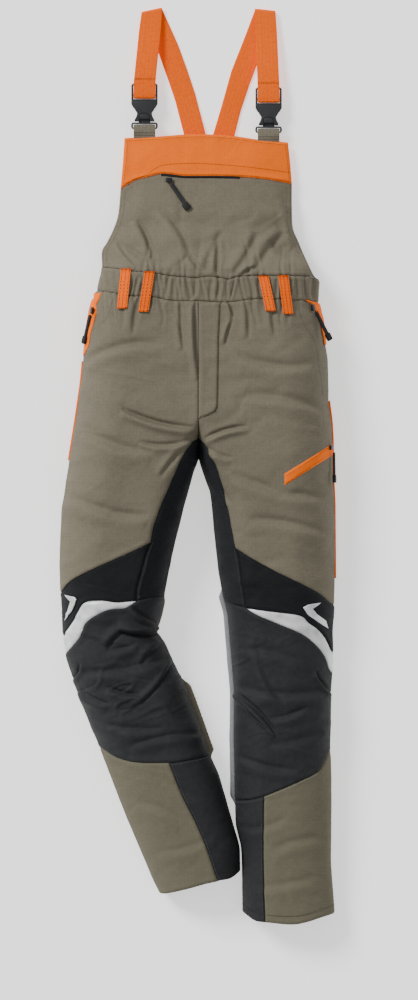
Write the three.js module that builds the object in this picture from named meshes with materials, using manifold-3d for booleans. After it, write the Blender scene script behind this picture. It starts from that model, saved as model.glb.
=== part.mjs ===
// Bib-and-brace work overalls with cut protection in the legs, laid on their back.
// Millimetres. +Y runs from the hems to the shoulder straps, +Z points out of the front,
// and the back panels lie on z = 0. Left and right are the wearer's: right is at -X.
import * as THREE from 'three';
import { mergeVertices } from 'three/addons/utils/BufferGeometryUtils.js';
import Module from 'manifold-3d';

const wasm = await Module();
wasm.setup();

// Fabric and clearances
const GAP = 0.4;                  // clearance between neighbouring pieces
const SHELL = 2.8;                // outer fabric with its lining
const TRIM = 1.6;                 // facings, welts and loops
const WEBBING = 1.8;              // thickness of the brace webbing
const WEBBING_WIDTH = 38.6;
const PAD_DEPTH = 6;              // layered cut-protection fibre
const SEAM_HEIGHT = 22;           // side seam and inseam above the surface
const SEAM_LIP = 0.5;

// Roundness of the filled legs
const OUTER_SHOULDER = 80;        // width over which the outer side rounds over
const INNER_SHOULDER = 62;        // the same at the inseam
const CENTRE_REACH = 5;           // how far a half's hollow passes the centre seam
const CROTCH_TOP = 14;            // the halves are open to each other above this
const CROTCH_LOW = 4;
const CLOSING_FROM = 40;          // the inseam starts to round over here
const CLOSING_RUN = 100;
const LEG_ROWS = [
  356, 320, 290, 245, 200, 150, 100, 60, 30, CROTCH_TOP, CROTCH_LOW, -20, -60, -110, -160, -210,
  -250, -292, -330, -380, -440, -500, -560, -620, -680, -740, -790, -830,
];
const WAIST_ROWS = [370, 350, 330, 310, 290, 270];
const COLUMNS = [0, 0.02, 0.07, 0.16, 0.3, 0.5, 0.7, 0.84, 0.93, 0.98, 1];

// Height of the front above the surface, as [y, height]
const CROWN = [
  [380, 89], [360, 91], [290, 98], [100, 116], [20, 118], [-60, 112], [-200, 104], [-300, 93],
  [-420, 92], [-520, 88], [-650, 80], [-850, 65],
];

// Plan outlines, as [x, y] from the waist to the hem
const CENTRE = 1;
const RIGHT_LEG = {
  inward: 1,
  outer: [
    [-169, 380], [-171, 353], [-179, 312], [-191, 286], [-198, 247], [-207, 148], [-217, 80],
    [-235, -32], [-244, -111], [-244, -225], [-234, -335], [-207, -420], [-176, -495],
    [-126, -624], [-77, -740], [-66, -760], [-60, -850],
  ],
  inner: [
    [CENTRE - GAP / 2, 380], [CENTRE - GAP / 2, CROTCH_TOP], [-3, CROTCH_LOW], [-9, -11], [-36, -116],
    [-61, -233], [-76, -292], [-46, -347], [-7, -440], [21, -513], [46, -585], [63, -640], [74.5, -678],
    [75, -850],
  ],
};
const LEFT_LEG = {
  inward: -1,
  outer: [
    [220, 380], [215, 331], [212, 290], [221, 265], [224, 224], [231, 116], [237, 41], [238, -9],
    [242, -201], [238, -294], [239, -372], [235, -488], [237, -639], [243, -796], [244, -850],
  ],
  inner: [
    [CENTRE + GAP / 2, 380], [CENTRE + GAP / 2, CROTCH_TOP], [7, CROTCH_LOW], [22, -45], [37, -191],
    [48, -308], [59, -406], [63, -560], [66, -632], [78, -676], [79, -850],
  ],
};
const WAIST = { inward: 1, outer: RIGHT_LEG.outer, inner: LEFT_LEG.outer, whole: true };
const FAR = 40;                   // how far a cutting outline passes the silhouette
const WIDEST = 290;               // a plan line outside both legs

// Seam lines, as [x, y]
const WAIST_TOP = [
  [-171, 353], [-138, 349], [-77, 341], [-7, 334], [53, 332], [107, 337], [199, 336], [215, 331],
];
const WAIST_BOTTOM_RIGHT = [[-179, 312], [-150, 307], [-125, 302], [-77, 299], [-49, 293], [CENTRE, 292]];
const WAIST_BOTTOM_LEFT = [[CENTRE, 292], [56, 290], [110, 296], [193, 293], [212, 290]];
const HEM_RIGHT = [[-66, -760], [-53, -759], [-19, -751], [13, -742], [58, -733], [76, -722]];
const HEM_LEFT = [
  [77, -794], [100, -808], [126, -813], [163, -815.5], [189, -812], [219, -803], [243, -796],
];
const SEAMS_RIGHT = {
  gusset: [[CENTRE, 50], [-14, 36], [-32, 5], [-54, -45], [-70, -80], [-79, -107], [-84, -136]],
  bandTop: [[-84, -136], [-123, -155], [-168, -175], [-202, -191], [-229, -207], [-244, -225]],
  gussetSide: [[-84, -136], [-100, -186], [-110, -238]],
  gussetHem: [[-61, -233], [-82, -234], [-110, -238]],
  stripeTop: [[-110, -238], [-143, -243], [-173, -240], [-204, -246], [-223, -279], [-239, -304]],
  stripeHem: [[-110, -238], [-130, -252], [-159, -255], [-180, -265], [-199, -279], [-209, -302], [-234, -333]],
  kneeHem: [[21, -513], [-53, -527], [-101, -527], [-132, -523], [-155, -513], [-176, -499]],
  shin: [[-52, -527], [-30, -583], [-5, -633], [15, -681], [30, -726], [36, -740]],
};
const SEAMS_LEFT = {
  gusset: [[CENTRE, 50], [17, 27], [33, -9], [47, -59], [58, -111], [66, -147]],
  bandTop: [[66, -147], [94, -164], [140, -189], [185, -211], [219, -229], [241, -248]],
  gussetSide: [[66, -147], [76, -198], [84, -252]],
  gussetHem: [[44, -237], [64, -247], [84, -252]],
  stripeTop: [[84, -252], [123, -257], [180, -265], [198, -279], [216, -291], [230, -308], [240, -333]],
  stripeHem: [[84, -252], [101, -263], [135, -278], [185, -299], [210, -317], [226, -337], [240, -370]],
  kneeHem: [[63, -595], [90, -593], [118, -587], [154, -572], [187, -557], [215, -542], [234, -508]],
  shin: [[118, -587], [116, -682], [117, -747], [119, -811]],
};

// Reflective chevrons on the knee bands
const CHEVRON_RIGHT = [[-234, -230], [-218, -233], [-216, -238], [-227, -258], [-237, -274], [-232, -258], [-226, -240]];
const CHEVRON_LEFT = [
  [218, -243], [196, -246], [186, -251], [194, -264], [215, -279], [232, -289], [227, -276], [210, -263],
  [203, -254],
];

// Bib, as [y, height] at its middle and at its edges, and its outlines
const BIB_CROWN = [[330, 90], [400, 70], [460, 51], [520, 34], [590, 21], [620, 19]];
const BIB_EDGE = [[330, 40], [400, 31], [460, 24], [520, 16], [590, 11], [620, 10]];
const BIB_ROWS = [325, 360, 400, 440, 480, 520, 560, 600];
const BIB_COLUMNS = [-220, -180, -140, -100, -60, -20, 20, 60, 100, 140, 180, 220, 250];
const BIB_ARCH = 3;
const BIB_TOP = 560;              // the bib panel ends here, under the yoke
const BIB_RIGHT_EDGE = [[-138, BIB_TOP], [-138, 493], [-142, 449], [-150, 423], [-162, 398], [-172, 378], [-168, 354]];
const BIB_LEFT_EDGE = [[207, 336], [191, 369], [179, 398], [169, 423], [167, 456], [165, BIB_TOP]];
const YOKE = [
  [-131, 584], [-77, 586], [-23, 590], [24, 590], [66, 587], [107, 581], [160, 576], [167, 502], [120, 510],
  [72, 514], [-23, 515], [-49, 518], [-68, 519], [-93, 513], [-112, 508], [-138, 493],
];
const BIB_ZIP = { from: -62, to: 74, low: 503, high: 513.5 };
const BACK_YOKE = [[64, 574], [140, 337.4], [107, 337.4], [53, 332.4], [-7, 334.4], [-90, 343], [-24, 574]];

// Fly
const PLACKET = [[1.2, 289], [40, 289], [37, 230], [35, 106], [31, 96], [18, 89], [1.2, 83]];
const FLY_SLOT = { x: 18, width: 12, low: 105, high: 286 };
const FLY_TAPE_DEPTH = 5;

// Pockets and piping
const FACING_RIGHT = [[-171, 306], [-179, 283], [-186, 247], [-196, 215], [-206, 189], [-240, 189], [-220, 306]];
const FACING_LEFT = [[190, 292], [203, 281], [214, 257], [219, 236], [224, 215], [250, 215], [250, 288]];
const WELT = [[153, -14], [153, -35], [236, 20], [250, 29], [250, 50], [237, 41]];
const PIPING_RADIUS = 1.3;
const PIPING_LIFT = 1.9;          // its axis, out from the side seam

// Belt loops, [x, y] of the middle of each end
const LOOPS = [
  { name: 'belt_loop_right_side', top: [-128, 350], bottom: [-135, 279] },
  { name: 'belt_loop_right_front', top: [-86, 345], bottom: [-97, 273] },
  { name: 'belt_loop_left_front', top: [116, 337], bottom: [129, 274] },
  { name: 'belt_loop_left_side', top: [151, 338], bottom: [160, 269] },
];
const LOOP_WIDTH = 18;
const LOOP_SEWN = 1.7;            // webbing middle above the waistband where it is sewn down
const LOOP_STANDOFF = 11;         // the same where a belt passes under it

// Braces and buckles
const BUCKLE_HEIGHT = 17;         // middle of the buckle above the surface
const RIGHT_BUCKLE = { x: -95.5, y: 0 };
const LEFT_BUCKLE = { x: 125.5, y: -7 };

// ---------- geometry helpers ----------

// Value at y in a list of [y, value] that runs from high y to low y
function tableAt(table, y) {
  const rising = table[0][0] < table[table.length - 1][0];
  const rows = rising ? table : [...table].reverse();
  if (y <= rows[0][0]) return rows[0][1];
  for (let i = 1; i < rows.length; i += 1) {
    const [y0, v0] = rows[i - 1];
    const [y1, v1] = rows[i];
    if (y <= y1) return v0 + (v1 - v0) * (y - y0) / (y1 - y0);
  }
  return rows[rows.length - 1][1];
}

function xAt(outline, y) {
  return tableAt(outline.map(([x, py]) => [py, x]), y);
}

function smooth(t) {
  const c = Math.min(Math.max(t, 0), 1);
  return c * c * (3 - 2 * c);
}

// Quarter-round rise from 0 at the edge to 1 at the given width
function rise(distance, width) {
  const t = 1 - Math.min(Math.max(distance / width, 0), 1);
  return Math.sqrt(1 - t * t);
}

function geometryFrom(positions, index) {
  const geometry = new THREE.BufferGeometry();
  geometry.setAttribute('position', new THREE.Float32BufferAttribute(positions, 3));
  geometry.setIndex(index);
  return geometry;
}

function signedVolume(positions, index) {
  const corner = (i) => new THREE.Vector3(...positions.slice(3 * index[i], 3 * index[i] + 3));
  let volume = 0;
  for (let i = 0; i < index.length; i += 3) {
    volume += corner(i).dot(corner(i + 1).cross(corner(i + 2))) / 6;
  }
  return volume;
}

// Closed body through sections that each hold a row of top points and a row of bottom points
function loft(sections) {
  const columns = sections[0].top.length;
  const positions = [];
  const index = [];
  for (const { top, bottom } of sections) {
    for (const p of [...top, ...bottom]) positions.push(...p);
  }
  const quad = (a, b, c, d) => index.push(a, b, c, a, c, d);
  const at = (row, side, column) => (2 * row + side) * columns + column;
  for (let r = 0; r + 1 < sections.length; r += 1) {
    for (let c = 0; c + 1 < columns; c += 1) {
      quad(at(r, 0, c), at(r + 1, 0, c), at(r + 1, 0, c + 1), at(r, 0, c + 1));
      quad(at(r, 1, c), at(r, 1, c + 1), at(r + 1, 1, c + 1), at(r + 1, 1, c));
    }
    const last = columns - 1;
    quad(at(r, 0, 0), at(r, 1, 0), at(r + 1, 1, 0), at(r + 1, 0, 0));
    quad(at(r, 0, last), at(r + 1, 0, last), at(r + 1, 1, last), at(r, 1, last));
  }
  const end = sections.length - 1;
  for (let c = 0; c + 1 < columns; c += 1) {
    quad(at(0, 0, c), at(0, 0, c + 1), at(0, 1, c + 1), at(0, 1, c));
    quad(at(end, 0, c), at(end, 1, c), at(end, 1, c + 1), at(end, 0, c + 1));
  }
  if (signedVolume(positions, index) < 0) {
    for (let i = 0; i < index.length; i += 3) [index[i], index[i + 1]] = [index[i + 1], index[i]];
  }
  return geometryFrom(positions, index);
}

function solid(geometry) {
  const bare = geometry.clone();
  bare.deleteAttribute('normal');
  bare.deleteAttribute('uv');
  const merged = mergeVertices(bare, 1e-4);
  return new wasm.Manifold(new wasm.Mesh({
    numProp: 3,
    vertProperties: Float32Array.from(merged.attributes.position.array),
    triVerts: Uint32Array.from(merged.index.array),
  }));
}

function geometryOf(body) {
  const mesh = body.getMesh();
  return geometryFrom(Array.from(mesh.vertProperties), Array.from(mesh.triVerts));
}

// The largest connected piece, without the slivers that a cut can leave
function mainPiece(body) {
  return body.decompose().reduce((best, next) => (next.volume() > best.volume() ? next : best));
}

// Outline moved inwards by a distance, whichever way round it runs
function inset(outline, distance) {
  const count = outline.length;
  const area = outline.reduce((sum, [x, y], i) => {
    const [nx, ny] = outline[(i + 1) % count];
    return sum + x * ny - nx * y;
  }, 0);
  const turn = Math.sign(area);
  const normal = ([x0, y0], [x1, y1]) => {
    const length = Math.hypot(x1 - x0, y1 - y0);
    return [-turn * (y1 - y0) / length, turn * (x1 - x0) / length];
  };
  return outline.map((point, i) => {
    const before = normal(outline[(i + count - 1) % count], point);
    const after = normal(point, outline[(i + 1) % count]);
    const scale = distance / Math.max(1 + before[0] * after[0] + before[1] * after[1], 0.3);
    return [point[0] + (before[0] + after[0]) * scale, point[1] + (before[1] + after[1]) * scale];
  });
}

function extruded(outline, low, high) {
  const shape = new THREE.Shape(outline.map(([x, y]) => new THREE.Vector2(x, y)));
  const geometry = new THREE.ExtrudeGeometry(shape, { depth: high - low, bevelEnabled: false });
  return geometry.translate(0, 0, low);
}

// Tall cutter over a plan outline, half a gap inside it
function cutter(outline, low = -20, high = 200) {
  return solid(extruded(inset(outline, GAP / 2), low, high));
}

function block(x0, x1, y0, y1, z0, z1) {
  const geometry = new THREE.BoxGeometry(x1 - x0, y1 - y0, z1 - z0);
  return solid(geometry.translate((x0 + x1) / 2, (y0 + y1) / 2, (z0 + z1) / 2));
}

// Flat band through pairs of edge points, given as [[x, y, z], [x, y, z]]
function ribbon(pairs, thickness) {
  const edges = pairs.map(([a, b]) => [new THREE.Vector3(...a), new THREE.Vector3(...b)]);
  const middles = edges.map(([a, b]) => a.clone().add(b).multiplyScalar(0.5));
  const sections = edges.map(([a, b], i) => {
    const ahead = middles[Math.min(i + 1, middles.length - 1)].clone().sub(middles[i]);
    const behind = middles[i].clone().sub(middles[Math.max(i - 1, 0)]);
    const along = ahead.normalize().add(behind.normalize()).normalize();
    const across = b.clone().sub(a).normalize();
    const lift = new THREE.Vector3().crossVectors(across, along).normalize().multiplyScalar(thickness / 2);
    const side = (sign) => [a, b].map((p) => p.clone().addScaledVector(lift, sign).toArray());
    return { top: side(1), bottom: side(-1) };
  });
  return loft(sections);
}

// ---------- legs ----------

// Section of a leg or of the waist at y; offset moves its skin inwards
function legSection(leg, y, offset) {
  const closing = leg.whole ? 1 : smooth((CLOSING_FROM - y) / CLOSING_RUN);
  const inSkin = leg.whole || y <= CROTCH_LOW;
  const passCentre = offset > 0 ? leg.inward * CENTRE_REACH : 0;
  const outer = xAt(leg.outer, y) + leg.inward * offset;
  const inner = xAt(leg.inner, y) + (inSkin ? -leg.inward * offset : passCentre);
  const width = Math.abs(inner - outer);
  const outerRun = Math.min(OUTER_SHOULDER, width / 2);
  const innerRun = leg.whole ? outerRun : Math.min(INNER_SHOULDER, width / 2);
  const crown = tableAt(CROWN, y) - offset;
  const lipTop = SEAM_HEIGHT + SEAM_LIP;
  const lipLow = SEAM_HEIGHT - SEAM_LIP;
  const points = COLUMNS.map((u) => {
    const fromOuter = u * width;
    const fromInner = (1 - u) * width;
    const x = outer + (inner - outer) * u;
    const arch = rise(fromOuter, outerRun) * (1 - closing * (1 - rise(fromInner, innerRun)));
    const floor = rise(fromOuter, SEAM_HEIGHT) * (1 - closing * (1 - rise(fromInner, SEAM_HEIGHT)));
    return { x, high: lipTop + (crown - lipTop) * arch, low: lipLow - (lipLow - offset) * floor };
  });
  return {
    top: points.map((p) => [p.x, y, p.high]),
    bottom: points.map((p) => [p.x, y, p.low]),
  };
}

// Solid inside the skin of a leg, at an offset inwards (or outwards when negative)
function legSolid(leg, offset, rows = LEG_ROWS) {
  const past = Math.max(offset, 0) > 0 ? 8 + offset : 0;
  const sections = rows.map((y, i) => {
    const section = legSection(leg, y, offset);
    const shift = i === 0 ? past : (i === rows.length - 1 ? -past : 0);
    const move = ([x, py, z]) => [x, py + shift, z];
    return { top: section.top.map(move), bottom: section.bottom.map(move) };
  });
  return solid(loft(sections));
}

// Skin between two offsets, the first one nearer the outside
function legLayer(leg, outside, inside, rows = LEG_ROWS) {
  return legSolid(leg, outside, rows).subtract(legSolid(leg, inside, rows));
}

const ABOVE_SEAM = block(-400, 400, -950, 950, SEAM_HEIGHT + GAP / 2, 300);
const BELOW_SEAM = block(-400, 400, -950, 950, -20, SEAM_HEIGHT - GAP / 2);

// Height of the front skin over a plan point on the outer side of a leg or of the waist
function frontHeight(leg, x, y) {
  const fromOuter = (x - xAt(leg.outer, y)) * leg.inward;
  const lip = SEAM_HEIGHT + SEAM_LIP;
  return lip + (tableAt(CROWN, y) - lip) * rise(fromOuter, OUTER_SHOULDER);
}

// Point lifted off the front skin along its normal, and that normal
function offFront(leg, x, y, lift) {
  const step = 0.5;
  const z = frontHeight(leg, x, y);
  const slope = (frontHeight(leg, x + leg.inward * step, y) - z) / step;
  const normal = new THREE.Vector3(-leg.inward * slope, 0, 1).normalize();
  return { normal, point: new THREE.Vector3(x, y, z).addScaledVector(normal, lift) };
}

function legPanels(side, leg, seams, hem, waistBottom, chevron) {
  const shell = legLayer(leg, 0, SHELL);
  const front = shell.intersect(ABOVE_SEAM);
  const out = -leg.inward * FAR;
  const past = (points, dx, dy = 0) => {
    const [x, y] = points[points.length - 1];
    return [x + dx, y + dy];
  };
  const inner = leg.inward * FAR;
  const waistOuter = side === 'right' ? waistBottom[0] : waistBottom[waistBottom.length - 1];
  const waistLine = side === 'right' ? waistBottom : [...waistBottom].reverse();
  const gussetBelow = [CENTRE + inner, seams.gussetHem[0][1]];
  const hemLine = side === 'right' ? hem : [...hem].reverse();
  const innerHem = hemLine[hemLine.length - 1];
  const outerHem = hemLine[0];
  const shinEnd = seams.shin[seams.shin.length - 1];
  const cut = (outline) => mainPiece(front.intersect(cutter(outline)));
  const reversed = (points) => [...points].reverse();
  const outlines = {
    thigh_panel: [
      [waistOuter[0] + out, waistOuter[1]], ...waistLine, ...seams.gusset, ...seams.bandTop.slice(1),
      past(seams.bandTop, out),
    ],
    gusset: [
      ...seams.gusset, ...seams.gussetSide.slice(1), ...reversed(seams.gussetHem).slice(1), gussetBelow,
      [CENTRE + inner, 49],
    ],
    knee_band: [
      ...seams.bandTop, past(seams.bandTop, out), past(seams.stripeTop, out, 0), ...reversed(seams.stripeTop),
      ...reversed(seams.gussetSide).slice(1, -1),
    ],
    reflective_stripe: [
      ...seams.stripeTop, past(seams.stripeTop, out, -8), past(seams.stripeHem, out, -8),
      ...reversed(seams.stripeHem).slice(0, -1),
    ],
    knee_panel: [
      ...seams.gussetHem, ...seams.stripeHem.slice(1), past(seams.stripeHem, out, -8), past(seams.kneeHem, out),
      ...reversed(seams.kneeHem), [seams.kneeHem[0][0] + inner, seams.kneeHem[0][1]], gussetBelow,
    ],
    shin_panel: [
      ...seams.kneeHem.slice(seams.kneeHem.findIndex(([x]) => (x - seams.shin[0][0]) * leg.inward < 0)),
      past(seams.kneeHem, out), [outerHem[0] + out, outerHem[1] - 6],
      ...hemLine.filter(([x]) => (x - shinEnd[0]) * leg.inward < 0), ...reversed(seams.shin),
    ],
    inner_shin_panel: [
      ...seams.shin, ...hemLine.filter(([x]) => (x - shinEnd[0]) * leg.inward > 0),
      [innerHem[0] + inner, innerHem[1]], [seams.kneeHem[0][0] + inner, seams.kneeHem[0][1]],
      ...seams.kneeHem.slice(0, seams.kneeHem.findIndex(([x]) => (x - seams.shin[0][0]) * leg.inward <= 0)),
    ],
  };
  const pieces = Object.fromEntries(
    Object.entries(outlines).map(([name, outline]) => [name, cut(outline)]),
  );
  const widest = Math.sign(out) * WIDEST;
  const backOutline = [
    [widest, waistOuter[1]], ...waistLine, [CENTRE, CROTCH_TOP], [CENTRE + inner, CROTCH_LOW],
    [innerHem[0] + inner, innerHem[1]], ...reversed(hemLine), [outerHem[0] + out, outerHem[1]],
    [widest, seams.kneeHem[0][1]],
  ];
  pieces.back_panel = mainPiece(shell.intersect(BELOW_SEAM).intersect(cutter(backOutline)));
  pieces.cut_protection_pad = cutProtectionPad(leg);
  pieces.knee_chevron = mainPiece(
    legLayer(leg, -GAP - 0.5, -GAP).intersect(ABOVE_SEAM).intersect(cutter(chevron)),
  );
  return pieces;
}

// Layered fibre pad behind the front of a leg, from the thigh to the shin
function cutProtectionPad(leg) {
  const rows = [50, 0, -60, -150, -233, -292, -350, -440, -520, -600, -690];
  const sideMargin = 22;
  const outerEdge = rows.map((y) => [xAt(leg.outer, y) + leg.inward * sideMargin, y]);
  const innerEdge = rows.map((y) => [xAt(leg.inner, y) - leg.inward * sideMargin, y]);
  const outline = [...outerEdge, ...innerEdge.reverse()];
  const layer = legLayer(leg, SHELL + 0.8, SHELL + 0.8 + PAD_DEPTH);
  return mainPiece(layer.intersect(cutter(outline, SEAM_HEIGHT + 20, 200)));
}

// ---------- waist, fly and bib ----------

function waistPieces() {
  const line = [...WAIST_TOP, ...[...WAIST_BOTTOM_RIGHT, ...WAIST_BOTTOM_LEFT.slice(1)].reverse()];
  const [firstTop, lastTop] = [WAIST_TOP[0], WAIST_TOP[WAIST_TOP.length - 1]];
  const firstLow = WAIST_BOTTOM_RIGHT[0];
  const lastLow = WAIST_BOTTOM_LEFT[WAIST_BOTTOM_LEFT.length - 1];
  const outline = [
    [firstTop[0] - FAR, firstTop[1]], ...WAIST_TOP, [lastTop[0] + FAR, lastTop[1]],
    [lastLow[0] + FAR, lastLow[1]], ...line.slice(WAIST_TOP.length), [firstLow[0] - FAR, firstLow[1]],
  ];
  const band = legLayer(WAIST, 0, SHELL, WAIST_ROWS).intersect(cutter(outline));
  const elastic = legLayer(WAIST, SHELL + GAP, SHELL + GAP + TRIM, WAIST_ROWS);
  return {
    waistband_front: mainPiece(band.intersect(ABOVE_SEAM)),
    waistband_back: mainPiece(band.intersect(BELOW_SEAM)),
    waist_elastic: mainPiece(elastic.intersect(block(-140, 176, 299, 331, 0, SEAM_HEIGHT - 6))),
  };
}

function bibHeight(x, y) {
  const low = xAt([...BIB_RIGHT_EDGE].reverse(), y);
  const high = xAt(BIB_LEFT_EDGE, y);
  const u = Math.abs(x - (low + high) / 2) / ((high - low) / 2);
  const crown = tableAt(BIB_CROWN, y);
  const edge = tableAt(BIB_EDGE, y);
  return edge + (crown - edge) * Math.max(1 - u ** BIB_ARCH, -0.2);
}

// Layer that follows the bib between two heights above it
function bibLayer(low, high) {
  return solid(loft(BIB_ROWS.map((y) => ({
    top: BIB_COLUMNS.map((x) => [x, y, bibHeight(x, y) + high]),
    bottom: BIB_COLUMNS.map((x) => [x, y, bibHeight(x, y) + low]),
  }))));
}

function bibPieces() {
  const outline = [...BIB_RIGHT_EDGE, ...WAIST_TOP.slice(1, -1), ...BIB_LEFT_EDGE];
  const tape = BIB_ZIP;
  const tapeOutline = [[tape.from, tape.low], [tape.to, tape.low], [tape.to, tape.high], [tape.from, tape.high]];
  return {
    bib_panel: mainPiece(bibLayer(-SHELL, 0).intersect(cutter(outline))),
    bib_yoke: mainPiece(bibLayer(GAP, GAP + SHELL).intersect(cutter(YOKE))),
    bib_zip_tape: mainPiece(bibLayer(GAP, GAP + 0.8).intersect(cutter(tapeOutline))),
    back_yoke: cutter(BACK_YOKE, 0, SHELL),
  };
}

function flyPieces(thighPanel) {
  const half = FLY_SLOT.width / 2;
  const slot = block(FLY_SLOT.x - half, FLY_SLOT.x + half, FLY_SLOT.low, FLY_SLOT.high, 60, 200);
  const tapeOutline = [
    [FLY_SLOT.x - 13, FLY_SLOT.low - 6], [FLY_SLOT.x + 13, FLY_SLOT.low - 6], [FLY_SLOT.x + 13, FLY_SLOT.high],
    [FLY_SLOT.x - 13, FLY_SLOT.high],
  ];
  return {
    thigh_panel: mainPiece(thighPanel.subtract(slot)),
    fly_placket: mainPiece(legLayer(LEFT_LEG, -GAP - TRIM, -GAP).intersect(cutter(PLACKET, 60, 200))),
    fly_zip_tape: mainPiece(
      legLayer(LEFT_LEG, FLY_TAPE_DEPTH, FLY_TAPE_DEPTH + 1).intersect(cutter(tapeOutline, 60, 200)),
    ),
  };
}

// ---------- trim ----------

function overlay(leg, outline, low = SEAM_HEIGHT + GAP / 2) {
  const layer = legLayer(leg, -GAP - TRIM, -GAP);
  return mainPiece(layer.intersect(cutter(outline, low)));
}

function beltLoop({ top, bottom }) {
  const stations = [[0, LOOP_SEWN], [0.1, LOOP_SEWN], [0.19, LOOP_STANDOFF], [0.81, LOOP_STANDOFF], [0.9, LOOP_SEWN],
    [1, LOOP_SEWN]];
  const leg = top[0] < 0 ? RIGHT_LEG : LEFT_LEG;
  return ribbon(stations.map(([t, lift]) => {
    const x = top[0] + (bottom[0] - top[0]) * t;
    const y = top[1] + (bottom[1] - top[1]) * t;
    return [-1, 1].map((sign) => {
      const edge = x + sign * LOOP_WIDTH / 2;
      return [edge, y, frontHeight(leg, edge, y) + lift];
    });
  }), TRIM);
}

// Round piping laid along the side seam between two heights of the garment
function sidePiping(leg, from, to) {
  const steps = 12;
  const points = Array.from({ length: steps + 1 }, (_, i) => {
    const y = from + (to - from) * i / steps;
    return new THREE.Vector3(xAt(leg.outer, y) - leg.inward * PIPING_LIFT, y, SEAM_HEIGHT);
  });
  const section = new THREE.Shape();
  section.absarc(0, 0, PIPING_RADIUS, 0, 2 * Math.PI);
  return new THREE.ExtrudeGeometry(section, {
    steps: 16, curveSegments: 4, bevelEnabled: false, extrudePath: new THREE.CatmullRomCurve3(points),
  });
}

// ---------- zips ----------

const SLIDER = { length: 12, width: 8, height: 3.6 };
const PULL = { width: 5, thickness: 2, blockLength: 14, blockWidth: 8, blockThickness: 3 };

function roundedBar(length, width, thickness, radius) {
  const shape = new THREE.Shape();
  const [w, r] = [width / 2, radius];
  shape.moveTo(r, -w);
  shape.lineTo(length - r, -w);
  shape.absarc(length - r, -w + r, r, -Math.PI / 2, 0);
  shape.absarc(length - r, w - r, r, 0, Math.PI / 2);
  shape.lineTo(r, w);
  shape.absarc(r, w - r, r, Math.PI / 2, Math.PI);
  shape.absarc(r, -w + r, r, Math.PI, 1.5 * Math.PI);
  const geometry = new THREE.ExtrudeGeometry(shape, { depth: thickness, bevelEnabled: false, curveSegments: 3 });
  return geometry.translate(0, 0, -thickness / 2);
}

// Turns a piece made along +X with its face up so that it runs along a direction, facing a normal
function placed(geometry, origin, along, normal) {
  const x = along.clone().normalize();
  const y = new THREE.Vector3().crossVectors(normal, x).normalize();
  const z = new THREE.Vector3().crossVectors(x, y);
  const matrix = new THREE.Matrix4().makeBasis(x, y, z).setPosition(origin);
  return geometry.applyMatrix4(matrix);
}

function zipSlider(centre, along, normal) {
  const body = roundedBar(SLIDER.length, SLIDER.width, SLIDER.height, 2).translate(-SLIDER.length / 2, 0, 0);
  return placed(body, centre, along, normal);
}

// Flat pull with a moulded end, from its pivot to its tip
function zipPull(pivot, tip, normal) {
  const length = pivot.distanceTo(tip);
  const stem = solid(roundedBar(length - 4, PULL.width, PULL.thickness, 1.5));
  const end = roundedBar(PULL.blockLength, PULL.blockWidth, PULL.blockThickness, 2.5);
  const whole = stem.add(solid(end.translate(length - PULL.blockLength, 0, 0)));
  return placed(geometryOf(whole), pivot, tip.clone().sub(pivot), normal);
}

const ZIP_LIFT = 5.4;             // slider middle above the fabric
const vector = (x, y, z) => new THREE.Vector3(x, y, z);

function pocketZipRight() {
  const at = offFront(RIGHT_LEG, -184, 276, ZIP_LIFT);
  const end = offFront(RIGHT_LEG, -198, 166, ZIP_LIFT);
  const pivot = offFront(RIGHT_LEG, -186.5, 268, ZIP_LIFT + 0.6);
  const tip = offFront(RIGHT_LEG, -198, 217, ZIP_LIFT + 0.6);
  return {
    pocket_zip_slider_right: zipSlider(at.point, end.point.clone().sub(at.point), at.normal),
    pocket_zip_pull_right: zipPull(pivot.point, tip.point, pivot.normal),
  };
}

function pocketZipLeft() {
  const at = offFront(LEFT_LEG, 200, 281, ZIP_LIFT);
  const end = offFront(LEFT_LEG, 216, 171, ZIP_LIFT);
  const pivot = offFront(LEFT_LEG, 204.5, 273.5, ZIP_LIFT + 0.6);
  return {
    pocket_zip_slider_left: zipSlider(at.point, end.point.clone().sub(at.point), at.normal),
    pocket_zip_pull_left: zipPull(pivot.point, vector(235, 223, 62), pivot.normal),
  };
}

function thighZip() {
  const at = offFront(LEFT_LEG, 232, 33, ZIP_LIFT);
  const inner = offFront(LEFT_LEG, 226, 29, ZIP_LIFT);
  const pivot = offFront(LEFT_LEG, 234.5, 24, ZIP_LIFT + 2);
  const tip = offFront(LEFT_LEG, 235.5, -30, ZIP_LIFT + 2);
  return {
    thigh_zip_slider: zipSlider(at.point, inner.point.clone().sub(at.point), at.normal),
    thigh_zip_pull: zipPull(pivot.point, tip.point, pivot.normal),
  };
}

function bibZip() {
  const lift = GAP + 0.8 + GAP + 1.8 + SLIDER.height / 2;
  const [x, y] = [BIB_ZIP.from + 10, (BIB_ZIP.low + BIB_ZIP.high) / 2];
  const at = vector(x, y, bibHeight(x, y) + lift);
  const slope = vector(0, -(bibHeight(x, y + 5) - bibHeight(x, y - 5)) / 10, 1).normalize();
  const pivot = vector(-48, 501.5, bibHeight(-48, 501.5) + 5);
  const tip = vector(-17, 456, bibHeight(-17, 456) + 5);
  return {
    bib_zip_slider: zipSlider(at, vector(1, 0, 0), slope),
    bib_zip_pull: zipPull(pivot, tip, slope),
  };
}

function flySlider() {
  const high = vector(FLY_SLOT.x, FLY_SLOT.high - 8, 0);
  const low = vector(FLY_SLOT.x, FLY_SLOT.low + 8, 0);
  for (const p of [high, low]) p.z = tableAt(CROWN, p.y) - FLY_TAPE_DEPTH / 2;
  return { fly_zip_slider: zipSlider(high, low.clone().sub(high), vector(0, 0, 1)) };
}

// ---------- braces and buckles ----------

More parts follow.
